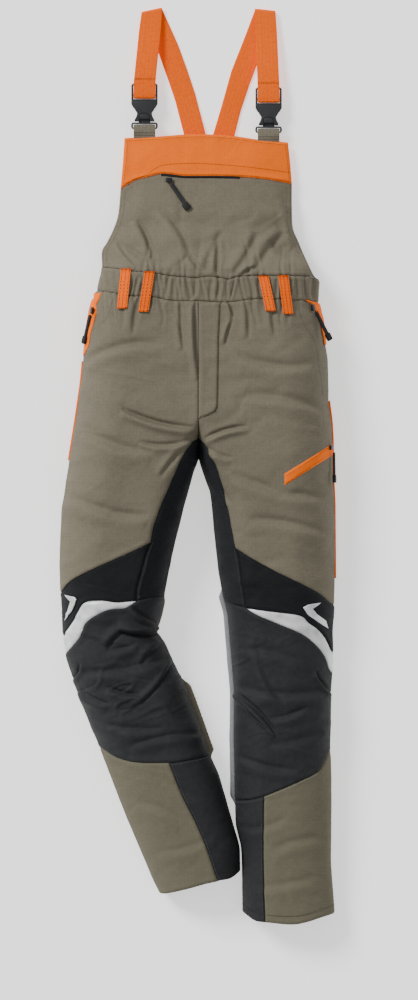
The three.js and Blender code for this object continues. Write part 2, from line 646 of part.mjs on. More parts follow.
const HALF_WEB = WEBBING_WIDTH / 2;
const BAR = 659.5;                // y of the bar that the webbing turns round, on the right buckle
const SOCKET = {
  top: 681, frameEnd: 644, waist: 628, waistHalf: 13, foot: 616, footHalf: 17.5, end: 613, half: 23.5,
  frameDepth: 4, bodyDepth: 12, window: [653, 676.5], windowHalf: 19.9, barHalf: 2, barDepth: 3,
};
const PLUG = {
  half: 24, low: 599.5, high: 611.5, depth: 6.4, lobe: 4, window: [602.6, 608.4], windowHalf: 20.2,
  barDepth: 2.6, tongueHalf: 10.4, tongueEnd: 636, tongueDepth: 3.4,
};
const BUTTON = { half: 8.8, low: 617.5, high: 627.5, bottom: 3.9, top: 7.2 };
const BUTTON_CLEARANCE = 0.6;

function mirrored(points) {
  return [...points, ...points.map(([x, y]) => [-x, y]).reverse()];
}

function buckleSocket() {
  const s = SOCKET;
  const frame = solid(extruded(mirrored([[s.half - 3, s.top], [s.half, s.top - 3], [s.half, s.frameEnd],
    [s.half - 4, s.frameEnd - 7]]), -s.frameDepth / 2, s.frameDepth / 2));
  const body = solid(extruded(mirrored([[s.half - 1, s.frameEnd + 6], [s.half - 1, s.frameEnd], [17, 634],
    [s.waistHalf, s.waist], [s.waistHalf + 1, s.waist - 5], [s.footHalf, s.foot], [s.footHalf, s.end]]),
  -s.bodyDepth / 2, s.bodyDepth / 2));
  const window = block(-s.windowHalf, s.windowHalf, s.window[0], s.window[1], -20, 20);
  const bar = block(-s.windowHalf - 1, s.windowHalf + 1, BAR - s.barHalf, BAR + s.barHalf, -s.barDepth / 2, s.barDepth / 2);
  const cavity = block(
    -PLUG.tongueHalf - GAP, PLUG.tongueHalf + GAP, s.end - 5, PLUG.tongueEnd + 2,
    -PLUG.tongueDepth / 2 - GAP, PLUG.tongueDepth / 2 + GAP,
  );
  const notch = buttonSolid(BUTTON_CLEARANCE, s.end - 5, 0, 20);
  return frame.add(body).subtract(window).add(bar).subtract(cavity).subtract(notch);
}

// U-shaped release button, or with a margin the notch that it sits in
function buttonSolid(margin, low, bottom, top) {
  const half = BUTTON.half + margin;
  const high = BUTTON.high + margin;
  const shape = new THREE.Shape();
  shape.moveTo(-half, low);
  shape.lineTo(half, low);
  shape.lineTo(half, high - 6);
  shape.absellipse(0, high - 6, half, 6, 0, Math.PI);
  shape.lineTo(-half, low);
  const geometry = new THREE.ExtrudeGeometry(shape, { depth: top - bottom, bevelEnabled: false, curveSegments: 8 });
  return solid(geometry.translate(0, 0, bottom));
}

function bucklePlug() {
  const p = PLUG;
  const outline = new THREE.Shape();
  outline.moveTo(-p.half + p.lobe, p.low);
  outline.lineTo(p.half - p.lobe, p.low);
  outline.absellipse(p.half - p.lobe, (p.low + p.high) / 2, p.lobe, (p.high - p.low) / 2, -Math.PI / 2, Math.PI / 2);
  outline.lineTo(-p.half + p.lobe, p.high);
  outline.absellipse(-p.half + p.lobe, (p.low + p.high) / 2, p.lobe, (p.high - p.low) / 2, Math.PI / 2, 1.5 * Math.PI);
  const plate = new THREE.ExtrudeGeometry(outline, { depth: p.depth, bevelEnabled: false, curveSegments: 6 });
  const foot = solid(plate.translate(0, 0, -p.depth / 2));
  const window = block(-p.windowHalf, p.windowHalf, p.window[0], p.window[1], -20, 20);
  const overBar = block(-p.windowHalf, p.windowHalf, p.low - 5, p.window[0] + 0.5, p.barDepth / 2, 20);
  const underBar = block(-p.windowHalf, p.windowHalf, p.low - 5, p.window[0] + 0.5, -20, -p.barDepth / 2);
  const tongue = block(
    -p.tongueHalf, p.tongueHalf, p.high - 2, p.tongueEnd, -p.tongueDepth / 2, p.tongueDepth / 2,
  );
  return foot.subtract(window).subtract(overBar).subtract(underBar).add(tongue);
}

// Webbing tab sewn under the yoke and looped round the plug's bar
function buckleTab(buckle) {
  const loopLift = 2.6;
  const sewn = (y, drop) => [y, (x) => bibHeight(x, y) - drop];
  const level = (y, lift) => [y, () => BUCKLE_HEIGHT + lift];
  const stations = [
    sewn(569 + buckle.y, 2.2), sewn(583 + buckle.y, 2.2), level(596 + buckle.y, loopLift),
    level(601.5 + buckle.y, loopLift), level(604.6 + buckle.y, 1.9), level(605.6 + buckle.y, 0),
    level(604.6 + buckle.y, -1.9), level(601.5 + buckle.y, -loopLift), level(592 + buckle.y, -loopLift),
    level(576 + buckle.y, -loopLift - 5),
  ];
  return ribbon(stations.map(([y, height]) => [-1, 1].map((sign) => {
    const x = buckle.x + sign * HALF_WEB;
    return [x, y, height(x)];
  })), TRIM);
}

// Brace from the back yoke up to its crease, and down the front round the socket's bar
function brace(buckle, backRun, crease) {
  const [a, b] = crease;
  const lower = backRun.map(([p, q], i) => {
    const z = i < 2 ? SHELL + GAP + WEBBING / 2 : WEBBING;
    return [[...p, z], [...q, z]];
  });
  const fold = [[0, WEBBING], [1.6, 3.4], [1.9, 5], [1.6, 6.6], [0, 8.2]].map(([out, z]) => (
    [[a[0], a[1] + out, z], [b[0], b[1] + out, z]]
  ));
  const along = (y, z) => {
    const t = (a[1] - y) / (a[1] - (SOCKET.top + buckle.y));
    const middle = (a[0] + b[0]) / 2 + (buckle.x - (a[0] + b[0]) / 2) * Math.min(t, 1);
    return [-1, 1].map((sign) => [middle + sign * HALF_WEB, y, z]);
  };
  const y = (value) => value + buckle.y;
  const z = BUCKLE_HEIGHT;
  const front = [
    along(y(760), 12), along(y(710), 18.4), along(y(684), z + 3.3), along(y(663), z + 3.3), along(y(657), z + 2.6),
    along(y(655), z + 1.2), along(y(655), z - 1.2), along(y(657), z - 2.6), along(y(663), z - 3.3),
    along(y(684), z - 3.3), along(y(718), 12.6),
  ];
  return ribbon([...lower, ...fold, ...front], WEBBING);
}

const BRACE_RIGHT = {
  backRun: [
    [[-17, 562], [18, 567]], [[-25, 589], [12, 598]], [[-41, 651], [-5, 663]], [[-55, 692], [-19, 705]],
    [[-70, 734], [-35, 749]],
  ],
  crease: [[-101, 806], [-64, 814]],
};
const BRACE_LEFT = {
  backRun: [
    [[20, 567], [57, 562]], [[28, 595], [65, 588]], [[42, 642], [76, 632]], [[59, 703], [91, 677]],
    [[85, 769], [118, 750]],
  ],
  crease: [[101, 812], [138, 808]],
};

// ---------- assembly ----------

const FINISH = {
  beige_twill: [0x7d7566, 0.9, 0],
  shin_twill: [0x6e6a5a, 0.9, 0],
  orange_twill: [0xf07a1e, 0.85, 0],
  orange_webbing: [0xee6a1e, 0.85, 0],
  charcoal_ripstop: [0x323436, 0.85, 0],
  black_fabric: [0x1f2326, 0.8, 0],
  gusset_fabric: [0x26292c, 0.85, 0],
  reflective_tape: [0xdcdcdf, 0.4, 0.1],
  pad_fibre: [0xe8e6dc, 0.95, 0],
  beige_webbing: [0x877f71, 0.9, 0],
  buckle_plastic: [0x373e44, 0.5, 0],
  zip_tape: [0x1c1d1f, 0.9, 0],
  zip_metal: [0x55585c, 0.4, 0.9],
  pull_rubber: [0x141518, 0.7, 0],
};

const overalls = new THREE.Group();

function add(name, finish, geometry, position = [0, 0, 0]) {
  const [color, roughness, metalness] = FINISH[finish];
  const mesh = new THREE.Mesh(geometry, new THREE.MeshStandardMaterial({ color, roughness, metalness }));
  mesh.name = name;
  mesh.position.set(...position);
  overalls.add(mesh);
}

const PANEL_FINISH = {
  thigh_panel: 'beige_twill',
  gusset: 'gusset_fabric',
  knee_band: 'black_fabric',
  reflective_stripe: 'reflective_tape',
  knee_panel: 'charcoal_ripstop',
  shin_panel: 'shin_twill',
  inner_shin_panel: 'charcoal_ripstop',
  back_panel: 'charcoal_ripstop',
  cut_protection_pad: 'pad_fibre',
  knee_chevron: 'reflective_tape',
};

const rightPanels = legPanels('right', RIGHT_LEG, SEAMS_RIGHT, HEM_RIGHT, WAIST_BOTTOM_RIGHT, CHEVRON_RIGHT);
const leftPanels = legPanels('left', LEFT_LEG, SEAMS_LEFT, HEM_LEFT, WAIST_BOTTOM_LEFT, CHEVRON_LEFT);
const fly = flyPieces(leftPanels.thigh_panel);
leftPanels.thigh_panel = fly.thigh_panel;

for (const [side, panels] of [['right', rightPanels], ['left', leftPanels]]) {
  for (const [name, body] of Object.entries(panels)) add(`${name}_${side}`, PANEL_FINISH[name], geometryOf(body));
}
for (const [name, body] of Object.entries(waistPieces())) {
  add(name, name === 'waist_elastic' ? 'black_fabric' : 'beige_twill', geometryOf(body));
}
const BIB_FINISH = {
  bib_panel: 'beige_twill', bib_yoke: 'orange_twill', bib_zip_tape: 'zip_tape', back_yoke: 'beige_twill',
};
for (const [name, body] of Object.entries(bibPieces())) add(name, BIB_FINISH[name], geometryOf(body));
add('fly_placket', 'beige_twill', geometryOf(fly.fly_placket));
add('fly_zip_tape', 'zip_tape', geometryOf(fly.fly_zip_tape));

for (const loop of LOOPS) add(loop.name, 'orange_webbing', beltLoop(loop));
add('pocket_facing_right', 'orange_twill', geometryOf(overlay(RIGHT_LEG, FACING_RIGHT)));
add('pocket_facing_left', 'orange_twill', geometryOf(overlay(LEFT_LEG, FACING_LEFT)));
add('thigh_pocket_welt', 'orange_twill', geometryOf(overlay(LEFT_LEG, WELT, SEAM_HEIGHT + PIPING_RADIUS + 1)));
add('side_piping_right', 'orange_webbing', sidePiping(RIGHT_LEG, 186, 10));
add('side_piping_left', 'orange_webbing', sidePiping(LEFT_LEG, 116, -200));

const zips = { ...pocketZipRight(), ...pocketZipLeft(), ...thighZip(), ...bibZip(), ...flySlider() };
for (const [name, geometry] of Object.entries(zips)) {
  add(name, name.includes('pull') ? 'pull_rubber' : 'zip_metal', geometry);
}

for (const [side, buckle, run] of [['right', RIGHT_BUCKLE, BRACE_RIGHT], ['left', LEFT_BUCKLE, BRACE_LEFT]]) {
  const place = [buckle.x, buckle.y, BUCKLE_HEIGHT];
  const button = buttonSolid(0, BUTTON.low, BUTTON.bottom, BUTTON.top);
  add(`buckle_socket_${side}`, 'buckle_plastic', geometryOf(buckleSocket()), place);
  add(`buckle_plug_${side}`, 'buckle_plastic', geometryOf(bucklePlug()), place);
  add(`buckle_button_${side}`, 'buckle_plastic', geometryOf(button), place);
  add(`buckle_tab_${side}`, 'beige_webbing', buckleTab(buckle));
  add(`brace_webbing_${side}`, 'orange_webbing', brace(buckle, run.backRun, run.crease));
}

export default overalls;
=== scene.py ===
import math

import bmesh
import bpy
import numpy as np
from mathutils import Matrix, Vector
from mathutils.geometry import delaunay_2d_cdt


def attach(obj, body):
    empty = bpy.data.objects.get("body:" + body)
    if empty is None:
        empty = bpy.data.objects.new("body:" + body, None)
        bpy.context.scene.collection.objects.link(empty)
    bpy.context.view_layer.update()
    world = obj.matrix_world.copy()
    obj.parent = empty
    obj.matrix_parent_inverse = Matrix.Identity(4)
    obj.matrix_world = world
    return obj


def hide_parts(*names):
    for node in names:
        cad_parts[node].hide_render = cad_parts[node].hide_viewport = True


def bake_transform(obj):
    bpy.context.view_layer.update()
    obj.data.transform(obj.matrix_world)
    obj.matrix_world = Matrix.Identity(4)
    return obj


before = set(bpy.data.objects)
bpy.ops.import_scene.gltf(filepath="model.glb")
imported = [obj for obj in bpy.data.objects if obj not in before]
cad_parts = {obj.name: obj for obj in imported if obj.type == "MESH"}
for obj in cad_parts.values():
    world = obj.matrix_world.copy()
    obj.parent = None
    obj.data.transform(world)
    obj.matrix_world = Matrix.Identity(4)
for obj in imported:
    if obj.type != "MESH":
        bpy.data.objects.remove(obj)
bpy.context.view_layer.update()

MM = 0.001

# ---------------------------------------------------------------- sizes, in millimetres

SEAM_HEIGHT = 22            # side seam and inseam above the surface
OUTER_SHOULDER = 80         # width over which a leg's outer side rounds over
INNER_SHOULDER = 62
CLOSING_FROM = 88           # the surface starts to fall to the crotch here
CLOSING_RUN = 84
CENTRE = 1                  # x of the centre-front seam
CROTCH = 9
ELASTIC_Y = 316             # middle of the waistband
WEBBING_WIDTH = 38.6
BAND_SWELL = 0.075          # webbing is this much thicker in the middle than by its edges
CLOTH = 1.4                 # outer fabric with its lining
MESH_STEP = 2.5
SEAM_ROLL = 1.5             # how far a panel dips into a seam
SEAM_ROLL_WIDTH = 1.8
STITCH = 3.4                # pitch of the topstitching
THREAD = 1.1                # drawn a little thicker than thread so that it shows
STITCH_HEIGHT = 0.55
WELT_HEIGHT = 1.7           # top of the thigh pocket's welt above the thigh, clear of its zip's slider
ZIP_LIFT = 4.6              # slider middle above the fabric
BUCKLE_HEIGHT = 17
SOCKET_TOP = 681            # y of the right buckle's upper edge
PAD_WIDTH = 0.93            # the pads keep this share of their CAD size, clear of the creased cloth
PAD_HEIGHT = 0.83

CROWN = [
    (380, 89), (360, 91), (290, 98), (100, 116), (20, 118), (-60, 112), (-200, 104), (-300, 93),
    (-420, 92), (-520, 88), (-650, 80), (-850, 65),
]
RIGHT_OUTER = [
    (-169, 380), (-171, 353), (-179, 312), (-191, 286), (-198, 247), (-207, 148), (-217, 80),
    (-227, 18), (-235, -32), (-242, -77), (-244, -111), (-245, -168), (-244, -225), (-241, -294),
    (-234, -335), (-222, -379), (-207, -420), (-191, -458), (-176, -495), (-150, -563), (-126, -624),
    (-98, -690), (-77, -740), (-66, -760), (-60, -850),
]
RIGHT_INNER = [
    (CENTRE, 380), (CENTRE, CROTCH), (-9, -11), (-23, -64), (-36, -116), (-48, -164), (-61, -233),
    (-68, -267), (-76, -292), (-59, -317), (-46, -347), (-27, -385), (-7, -440), (13, -497),
    (36, -547), (47, -585), (63, -640), (74, -678), (75, -722), (75, -850),
]
LEFT_OUTER = [
    (220, 380), (215, 331), (212, 290), (221, 265), (224, 224), (230, 189), (231, 116), (236, 80),
    (238, 41), (238, -9), (241, -64), (242, -201), (241, -249), (238, -294), (240, -338), (239, -372),
    (236, -404), (235, -488), (237, -552), (237, -639), (236, -703), (240, -758), (243, -796),
    (244, -850),
]
LEFT_INNER = [
    (CENTRE, 380), (CENTRE, CROTCH), (22, -45), (27, -100), (37, -191), (43, -226), (53, -262), (58, -320),
    (65, -406), (64, -474), (66, -594), (67, -639), (77, -676), (79, -747), (79, -850),
]

# Seam lines, as (x, y)
WAIST_TOP = [
    (-171, 353), (-138, 349), (-109, 344), (-77, 341), (-49, 337), (-7, 333), (24, 336), (53, 331),
    (72, 336), (107, 337), (142, 337), (199, 336), (215, 331),
]
WAIST_LOW_RIGHT = [(-179, 312), (-150, 307), (-125, 302), (-77, 299), (-49, 293), (CENTRE, 292)]
WAIST_LOW_LEFT = [(CENTRE, 292), (24, 291), (56, 290), (110, 296), (193, 293), (212, 290)]
HEM_RIGHT = [(-66, -760), (-53, -759), (-19, -751), (13, -742), (36, -737), (58, -733), (75, -722)]
HEM_LEFT = [(243, -796), (219, -803), (189, -812), (163, -815), (126, -813), (100, -808), (79, -794)]
GUSSET_RIGHT = [(CENTRE, 50), (-14, 36), (-32, 5), (-54, -45), (-70, -80), (-79, -107), (-84, -136)]
BAND_RIGHT = [(-84, -136), (-123, -155), (-168, -175), (-202, -191), (-229, -207), (-244, -225)]
GUSSET_SIDE_RIGHT = [(-84, -136), (-91, -155), (-100, -186), (-108, -215), (-110, -240)]
GUSSET_HEM_RIGHT = [(-110, -240), (-82, -234), (-61, -233)]
STRIPE_TOP_RIGHT = [
    (-110, -240), (-143, -243), (-173, -240), (-204, -246), (-223, -279), (-239, -304),
]
STRIPE_HEM_RIGHT = [
    (-110, -240), (-130, -252), (-159, -255), (-180, -265), (-199, -279), (-209, -302), (-234, -333),
]
KNEE_HEM_RIGHT = [
    (-176, -499), (-155, -513), (-132, -523), (-101, -527), (-52, -527), (-20, -522), (21, -513),
]
SHIN_RIGHT = [(-52, -527), (-30, -583), (-5, -633), (15, -681), (30, -726), (36, -737)]
GUSSET_LEFT = [(CENTRE, 50), (17, 27), (33, -9), (47, -59), (58, -111), (66, -147)]
BAND_LEFT = [(66, -147), (94, -164), (140, -189), (185, -211), (219, -229), (241, -248)]
GUSSET_SIDE_LEFT = [(66, -147), (69, -155), (76, -198), (84, -252)]
GUSSET_HEM_LEFT = [(84, -252), (64, -247), (44, -237)]
STRIPE_TOP_LEFT = [
    (84, -252), (123, -257), (180, -265), (198, -279), (216, -291), (230, -308), (240, -333),
]
STRIPE_HEM_LEFT = [
    (84, -252), (101, -263), (135, -278), (185, -299), (210, -317), (226, -337), (240, -370),
]
KNEE_HEM_LEFT = [
    (234, -508), (228, -520), (215, -542), (187, -557), (154, -572), (117, -587), (90, -593),
    (63, -595),
]
SHIN_LEFT = [(117, -587), (116, -682), (117, -747), (119, -811)]
CHEVRON_RIGHT = [
    (-235, -229), (-218, -233), (-215, -237), (-226, -259), (-238, -275), (-233, -258), (-227, -241),
]
CHEVRON_LEFT = [
    (218, -243), (196, -246), (186, -251), (194, -264), (215, -279), (232, -289), (227, -276),
    (210, -263), (203, -254),
]

YOKE_TOP = [
    (-131, 584), (-77, 586), (-23, 590), (24, 590), (66, 587), (107, 581), (160, 576),
]
YOKE_LOW = [
    (-138, 493), (-112, 508), (-93, 513), (-68, 519), (-49, 518), (-23, 515), (24, 515), (72, 514),
    (120, 510), (167, 502),
]
YOKE_STITCH = [(-132, 502), (-93, 518), (-66, 534), (-20, 538), (40, 536), (104, 530), (164, 522)]
BIB_EDGE_RIGHT = [(-138, 493), (-142, 449), (-150, 423), (-162, 398), (-171, 382), (-171, 353)]
BIB_EDGE_LEFT = [(215, 331), (206, 338), (191, 369), (179, 398), (169, 423), (167, 456), (167, 502)]
BIB_CROWN = [(330, 90), (400, 70), (460, 51), (520, 34), (590, 21), (620, 19)]
BIB_EDGE = [(330, 40), (400, 31), (460, 24), (520, 16), (590, 11), (620, 10)]
BIB_SIDES = [(330, -171, 208), (380, -171, 186), (423, -150, 169), (493, -138, 167), (620, -130, 160)]
BIB_ARCH = 3
BIB_JOIN = 55               # height over which the bib leaves the round of the waist
PLACKET = [(1, 290), (40, 290), (37, 230), (35, 106), (31, 96), (18, 89), (1, 83)]

STIFF = [((-66, 488), (98, 482), 58), ((150, -30), (240, 30), 34)]    # lines that stay flat, and how far
FOLD_DEPTH = 1.6
# Creases and folds, listed one by one: (from x, y), (to x, y), width, height, bow
FOLDS = [
    ((-136, 98), (-8, 64), 8, 6.2, 7), ((-105, 40), (-10, 44), 7, 4.0, 8),
    ((-18, 40), (-70, -20), 7, 2.6, 4), ((12, 44), (88, 66), 7, 5.0, -6),
    ((14, 30), (60, 10), 7, 2.6, 3), ((20, 10), (54, -70), 7, 2.4, 3),
    ((-200, 180), (-70, 210), 14, 3.5, -12), ((-205, 60), (-80, 20), 15, 3.2, 10),
    ((-230, -60), (-90, -95), 14, 3, 8), ((70, 190), (205, 175), 14, 3, 10),
    ((80, 120), (222, 92), 15, 3.2, -8), ((60, -20), (225, -62), 14, 3, 8),
    ((90, -100), (236, -130), 13, 2.8, -8), ((-47, -347), (-123, -433), 5, 3.4, -8),
    ((-226, -386), (-206, -350), 5, 3.4, 3), ((-163, -395), (-104, -409), 8, 3.6, 4),
    ((-211, -398), (-158, -426), 8, 3.8, 5), ((-68, -292), (-142, -290), 7, 8.5, -5),
    ((-134, -290), (-164, -322), 8, 4, 3), ((-162, -330), (-108, -318), 9, 2.6, 4),
    ((-120, -250), (-78, -280), 7, 4, 3), ((-66, -315), (-104, -352), 7, 2.4, 3),
    ((-218, -372), (-52, -345), 12, 2.4, 8), ((-190, -455), (-60, -470), 12, 2.8, 8),
    ((-120, -500), (10, -480), 10, 2.4, -6), ((60, -400), (138, -480), 5.5, 5.4, -6),
    ((208, -366), (238, -408), 5, 3.8, 2), ((128, -452), (196, -430), 9, 2.8, 5),
    ((98, -308), (152, -432), 12, 2.2, 10), ((60, -396), (231, -404), 13, 2.2, 10),
    ((70, -330), (180, -352), 13, 1.8, -6), ((120, -500), (230, -470), 14, 1.8, 8),
    ((70, -520), (180, -545), 11, 2.4, 6), ((-60, -560), (20, -600), 12, 1.3, 6),
    ((-110, -600), (-30, -640), 14, 1.4, -6), ((-70, -690), (30, -660), 13, 1.2, 8),
    ((70, -650), (160, -630), 13, 1.2, 6), ((130, -690), (232, -668), 14, 1.3, -8),
    ((90, -750), (210, -735), 13, 1.1, 6), ((-7, 296), (0, 150), 6, 7.5, 3),
    ((50, 292), (60, 262), 5, 3.8, -2), ((60, 262), (46, 214), 5, 3, 2),
    ((-34, 292), (-28, 205), 6, 2.6, 2), ((82, 294), (86, 225), 7, 2.4, -2),
    ((128, 292), (134, 232), 7, 2.2, 2), ((-110, 298), (-118, 235), 7, 2.2, 2),
    ((-112, 436), (-84, 366), 9, 6, -5), ((-74, 458), (-18, 372), 11, 5, -8),
    ((-18, 372), (8, 342), 7, 4, 2), ((150, 418), (104, 356), 12, 4.2, 6),
    ((104, 356), (72, 338), 6, 4, 2), ((148, 474), (170, 384), 9, 3, -4),
    ((122, 396), (172, 362), 10, 3, 4), ((100, 418), (58, 342), 12, 3.6, -4),
    ((-145, 395), (-108, 352), 6, 4.4, 3), ((-30, 500), (-36, 430), 12, 2.4, 3),
    ((88, 500), (92, 440), 12, 2.2, -3), ((34, 400), (30, 340), 7, 3.2, 2),
    ((-150, 400), (-60, 352), 9, 3, 6), ((40, 420), (10, 345), 10, 2.6, 5),
    ((-60, 480), (20, 470), 14, 2.2, 4), ((60, 470), (140, 455), 12, 2.2, -4),
]


# ---------------------------------------------------------------- surfaces

def table(points, y):
    """Value at y in (y, value) points."""
    rows = sorted(points)
    return np.interp(y, [r[0] for r in rows], [r[1] for r in rows])


def outline_x(points, y, smooth=9.0):
    """x of an (x, y) outline at y, with its corners eased."""
    rows = [(py, px) for px, py in points]
    offsets = np.linspace(-2, 2, 9)
    weights = np.exp(-offsets ** 2)
    total = sum(w * table(rows, np.asarray(y) + o * smooth) for o, w in zip(offsets, weights))
    return total / weights.sum()


def ease(t):
    t = np.clip(t, 0, 1)
    return t * t * (3 - 2 * t)


def rise(distance, width):
    t = 1 - np.clip(distance / width, 0, 1)
    return np.sqrt(np.maximum(1 - t * t, 0))


def ripple(x, y, across, along, seed):
    """Smooth random height from -1 to 1, with features of the given size in x and in y."""
    grid = np.random.default_rng(seed).uniform(-1, 1, (256, 256))
    gx, gy = x / across + 100, y / along + 100
    ix, iy = np.floor(gx).astype(int), np.floor(gy).astype(int)
    fx, fy = ease(gx - ix), ease(gy - iy)
    a, b = grid[ix % 256, iy % 256], grid[(ix + 1) % 256, iy % 256]
    c, d = grid[ix % 256, (iy + 1) % 256], grid[(ix + 1) % 256, (iy + 1) % 256]
    return (a * (1 - fx) + b * fx) * (1 - fy) + (c * (1 - fx) + d * fx) * fy


def fold(x, y, start, end, width, height, bow):
    """One crease: a soft ridge with a sharper valley beside it, fading out at both ends."""
    dx, dy = end[0] - start[0], end[1] - start[1]
    length = math.hypot(dx, dy)
    along = ((x - start[0]) * dx + (y - start[1]) * dy) / length ** 2
    inside = np.clip(along, 0, 1)
    off = ((x - start[0]) * dy - (y - start[1]) * dx) / length - bow * 4 * inside * (1 - inside)
    beyond = np.abs(along - inside) * length
    fade = np.clip(4 * inside * (1 - inside), 0, 1) ** 0.5 * np.exp(-(beyond / width) ** 2)
    ridge = np.exp(-((off - 0.55 * width) / width) ** 2)
    valley = np.exp(-((off + 0.45 * width) / (0.55 * width)) ** 2)
    return height * fade * (0.9 * ridge - valley)


def creases(x, y, across, along, seed, width=0.16):
    """Sharp little ridges that wander over the cloth, with smooth cloth between them."""
    line = ripple(x, y, across, along, seed)
    share = np.clip(ripple(x, y, 2.2 * across, 2.2 * along, seed + 50) * 1.6 + 0.35, 0, 1)
    return share * (np.exp(-(line / width) ** 2) - 0.55 * np.exp(-((line - 2.2 * width) / width) ** 2))


def gathers(x, y):
    """Uneven little tucks that the elastic pulls into the waistband and the cloth beside it."""
    rng = np.random.default_rng(7)
    height = np.zeros_like(x)
    near = np.abs(y - 318) < 120
    if not near.any():
        return height
    px, py = x[near], y[near]
    total = np.zeros_like(px)
    place = -185.0
    while place < 232:
        reach_up = rng.uniform(22, 44) + 70 * (rng.random() < 0.35)
        reach_down = rng.uniform(30, 52) + 50 * (rng.random() < 0.35)
        slant, deep, wide = rng.normal(0, 0.12), rng.uniform(2.2, 5.0), rng.uniform(1.9, 3.8)
        wander = 1.6 * np.sin((py - 300) / rng.uniform(7, 14) + place)
        off = px - place - slant * (py - ELASTIC_Y) - wander
        above = ease((ELASTIC_Y + reach_up - py) / (0.7 * reach_up))
        below = ease((py - ELASTIC_Y + reach_down) / (0.7 * reach_down))
        tuck = 0.6 * np.exp(-((off - 1.5 * wide) / (1.3 * wide)) ** 2) - np.exp(-(off / wide) ** 2)
        total += above * below * deep * tuck
        place += rng.uniform(6.5, 17)
    height[near] = total
    return height


def looseness(y):
    """Share of its folds that the cloth shows: most at the knee, little on the shins and hips."""
    return table([(-830, 0.2), (-560, 0.2), (-500, 0.6), (-300, 0.8), (-180, 0.65), (40, 0.6), (290, 0.4)], y)


def drape_share(y):
    """Share of the simulated folds that the cloth keeps: its padding smooths the knees and shins."""
    shares = [(-830, 0.1), (-560, 0.12), (-480, 0.3), (-300, 0.4), (-180, 0.5), (40, 0.5), (290, 0.35)]
    return table(shares, y)


def suppleness(x, y):
    """1 on free cloth and less beside the zips, whose tapes hold it flat."""
    share = np.ones_like(x)
    for (x0, y0), (x1, y1), reach in STIFF:
        dx, dy = x1 - x0, y1 - y0
        t = np.clip(((x - x0) * dx + (y - y0) * dy) / (dx * dx + dy * dy), 0, 1)
        away = np.hypot(x - x0 - t * dx, y - y0 - t * dy)
        share = np.minimum(share, 0.2 + 0.8 * ease((away / reach - 0.4) / 0.6))
    return share


def wrinkles(x, y):
    """Height that the cloth's folds add at plan points."""
    height = np.zeros_like(x)
    for start, end, width, size, bow in FOLDS:
        height += fold(x, y, start, end, width, size * FOLD_DEPTH, bow)
    leg = ease((250 - y) / 120)
    slant = y + 0.22 * x
    broad = ripple(x, slant, 120, 26, 5) * 1.5 + ripple(x, y - 0.3 * x, 80, 40, 8) * 1.9
    height += leg * looseness(y) * (broad + 1.5 * creases(x, slant, 95, 30, 61))
    bib = ease((y - 350) / 40)
    height += bib * ripple(x + 0.5 * y, y - 0.4 * x, 60, 42, 11) * 2.4
    height += bib * creases(x + y, y - x, 60, 40, 63) * 0.9
    knee = np.exp(-((y + 385 + 0.15 * np.abs(x)) / 80) ** 2)
    height += knee * ripple(x + 0.5 * y, y - 0.2 * x, 60, 17, 21) * 1.3
    height += knee * creases(x + 0.5 * y, y - 0.4 * x, 48, 17, 65) * 2.3
    height += gathers(x, y)
    return height * suppleness(x, y) + 0.35 * ripple(x, y, 12, 9, 30)


class Drape:
    """How far simulated cloth moved off its start, on a grid of two coordinates."""

    def __init__(self, u, v, grid):
        self.u, self.v, self.grid = u, v, grid

    def at(self, u, v):
        i = np.clip((u - self.u[0]) / (self.u[1] - self.u[0]), 0, len(self.u) - 1.001)
        j = np.clip((v - self.v[0]) / (self.v[1] - self.v[0]), 0, len(self.v) - 1.001)
        a, b = i.astype(int), j.astype(int)
        f, g = i - a, j - b
        low = self.grid[b, a] * (1 - f) + self.grid[b, a + 1] * f
        high = self.grid[b + 1, a] * (1 - f) + self.grid[b + 1, a + 1] * f
        return low * (1 - g) + high * g


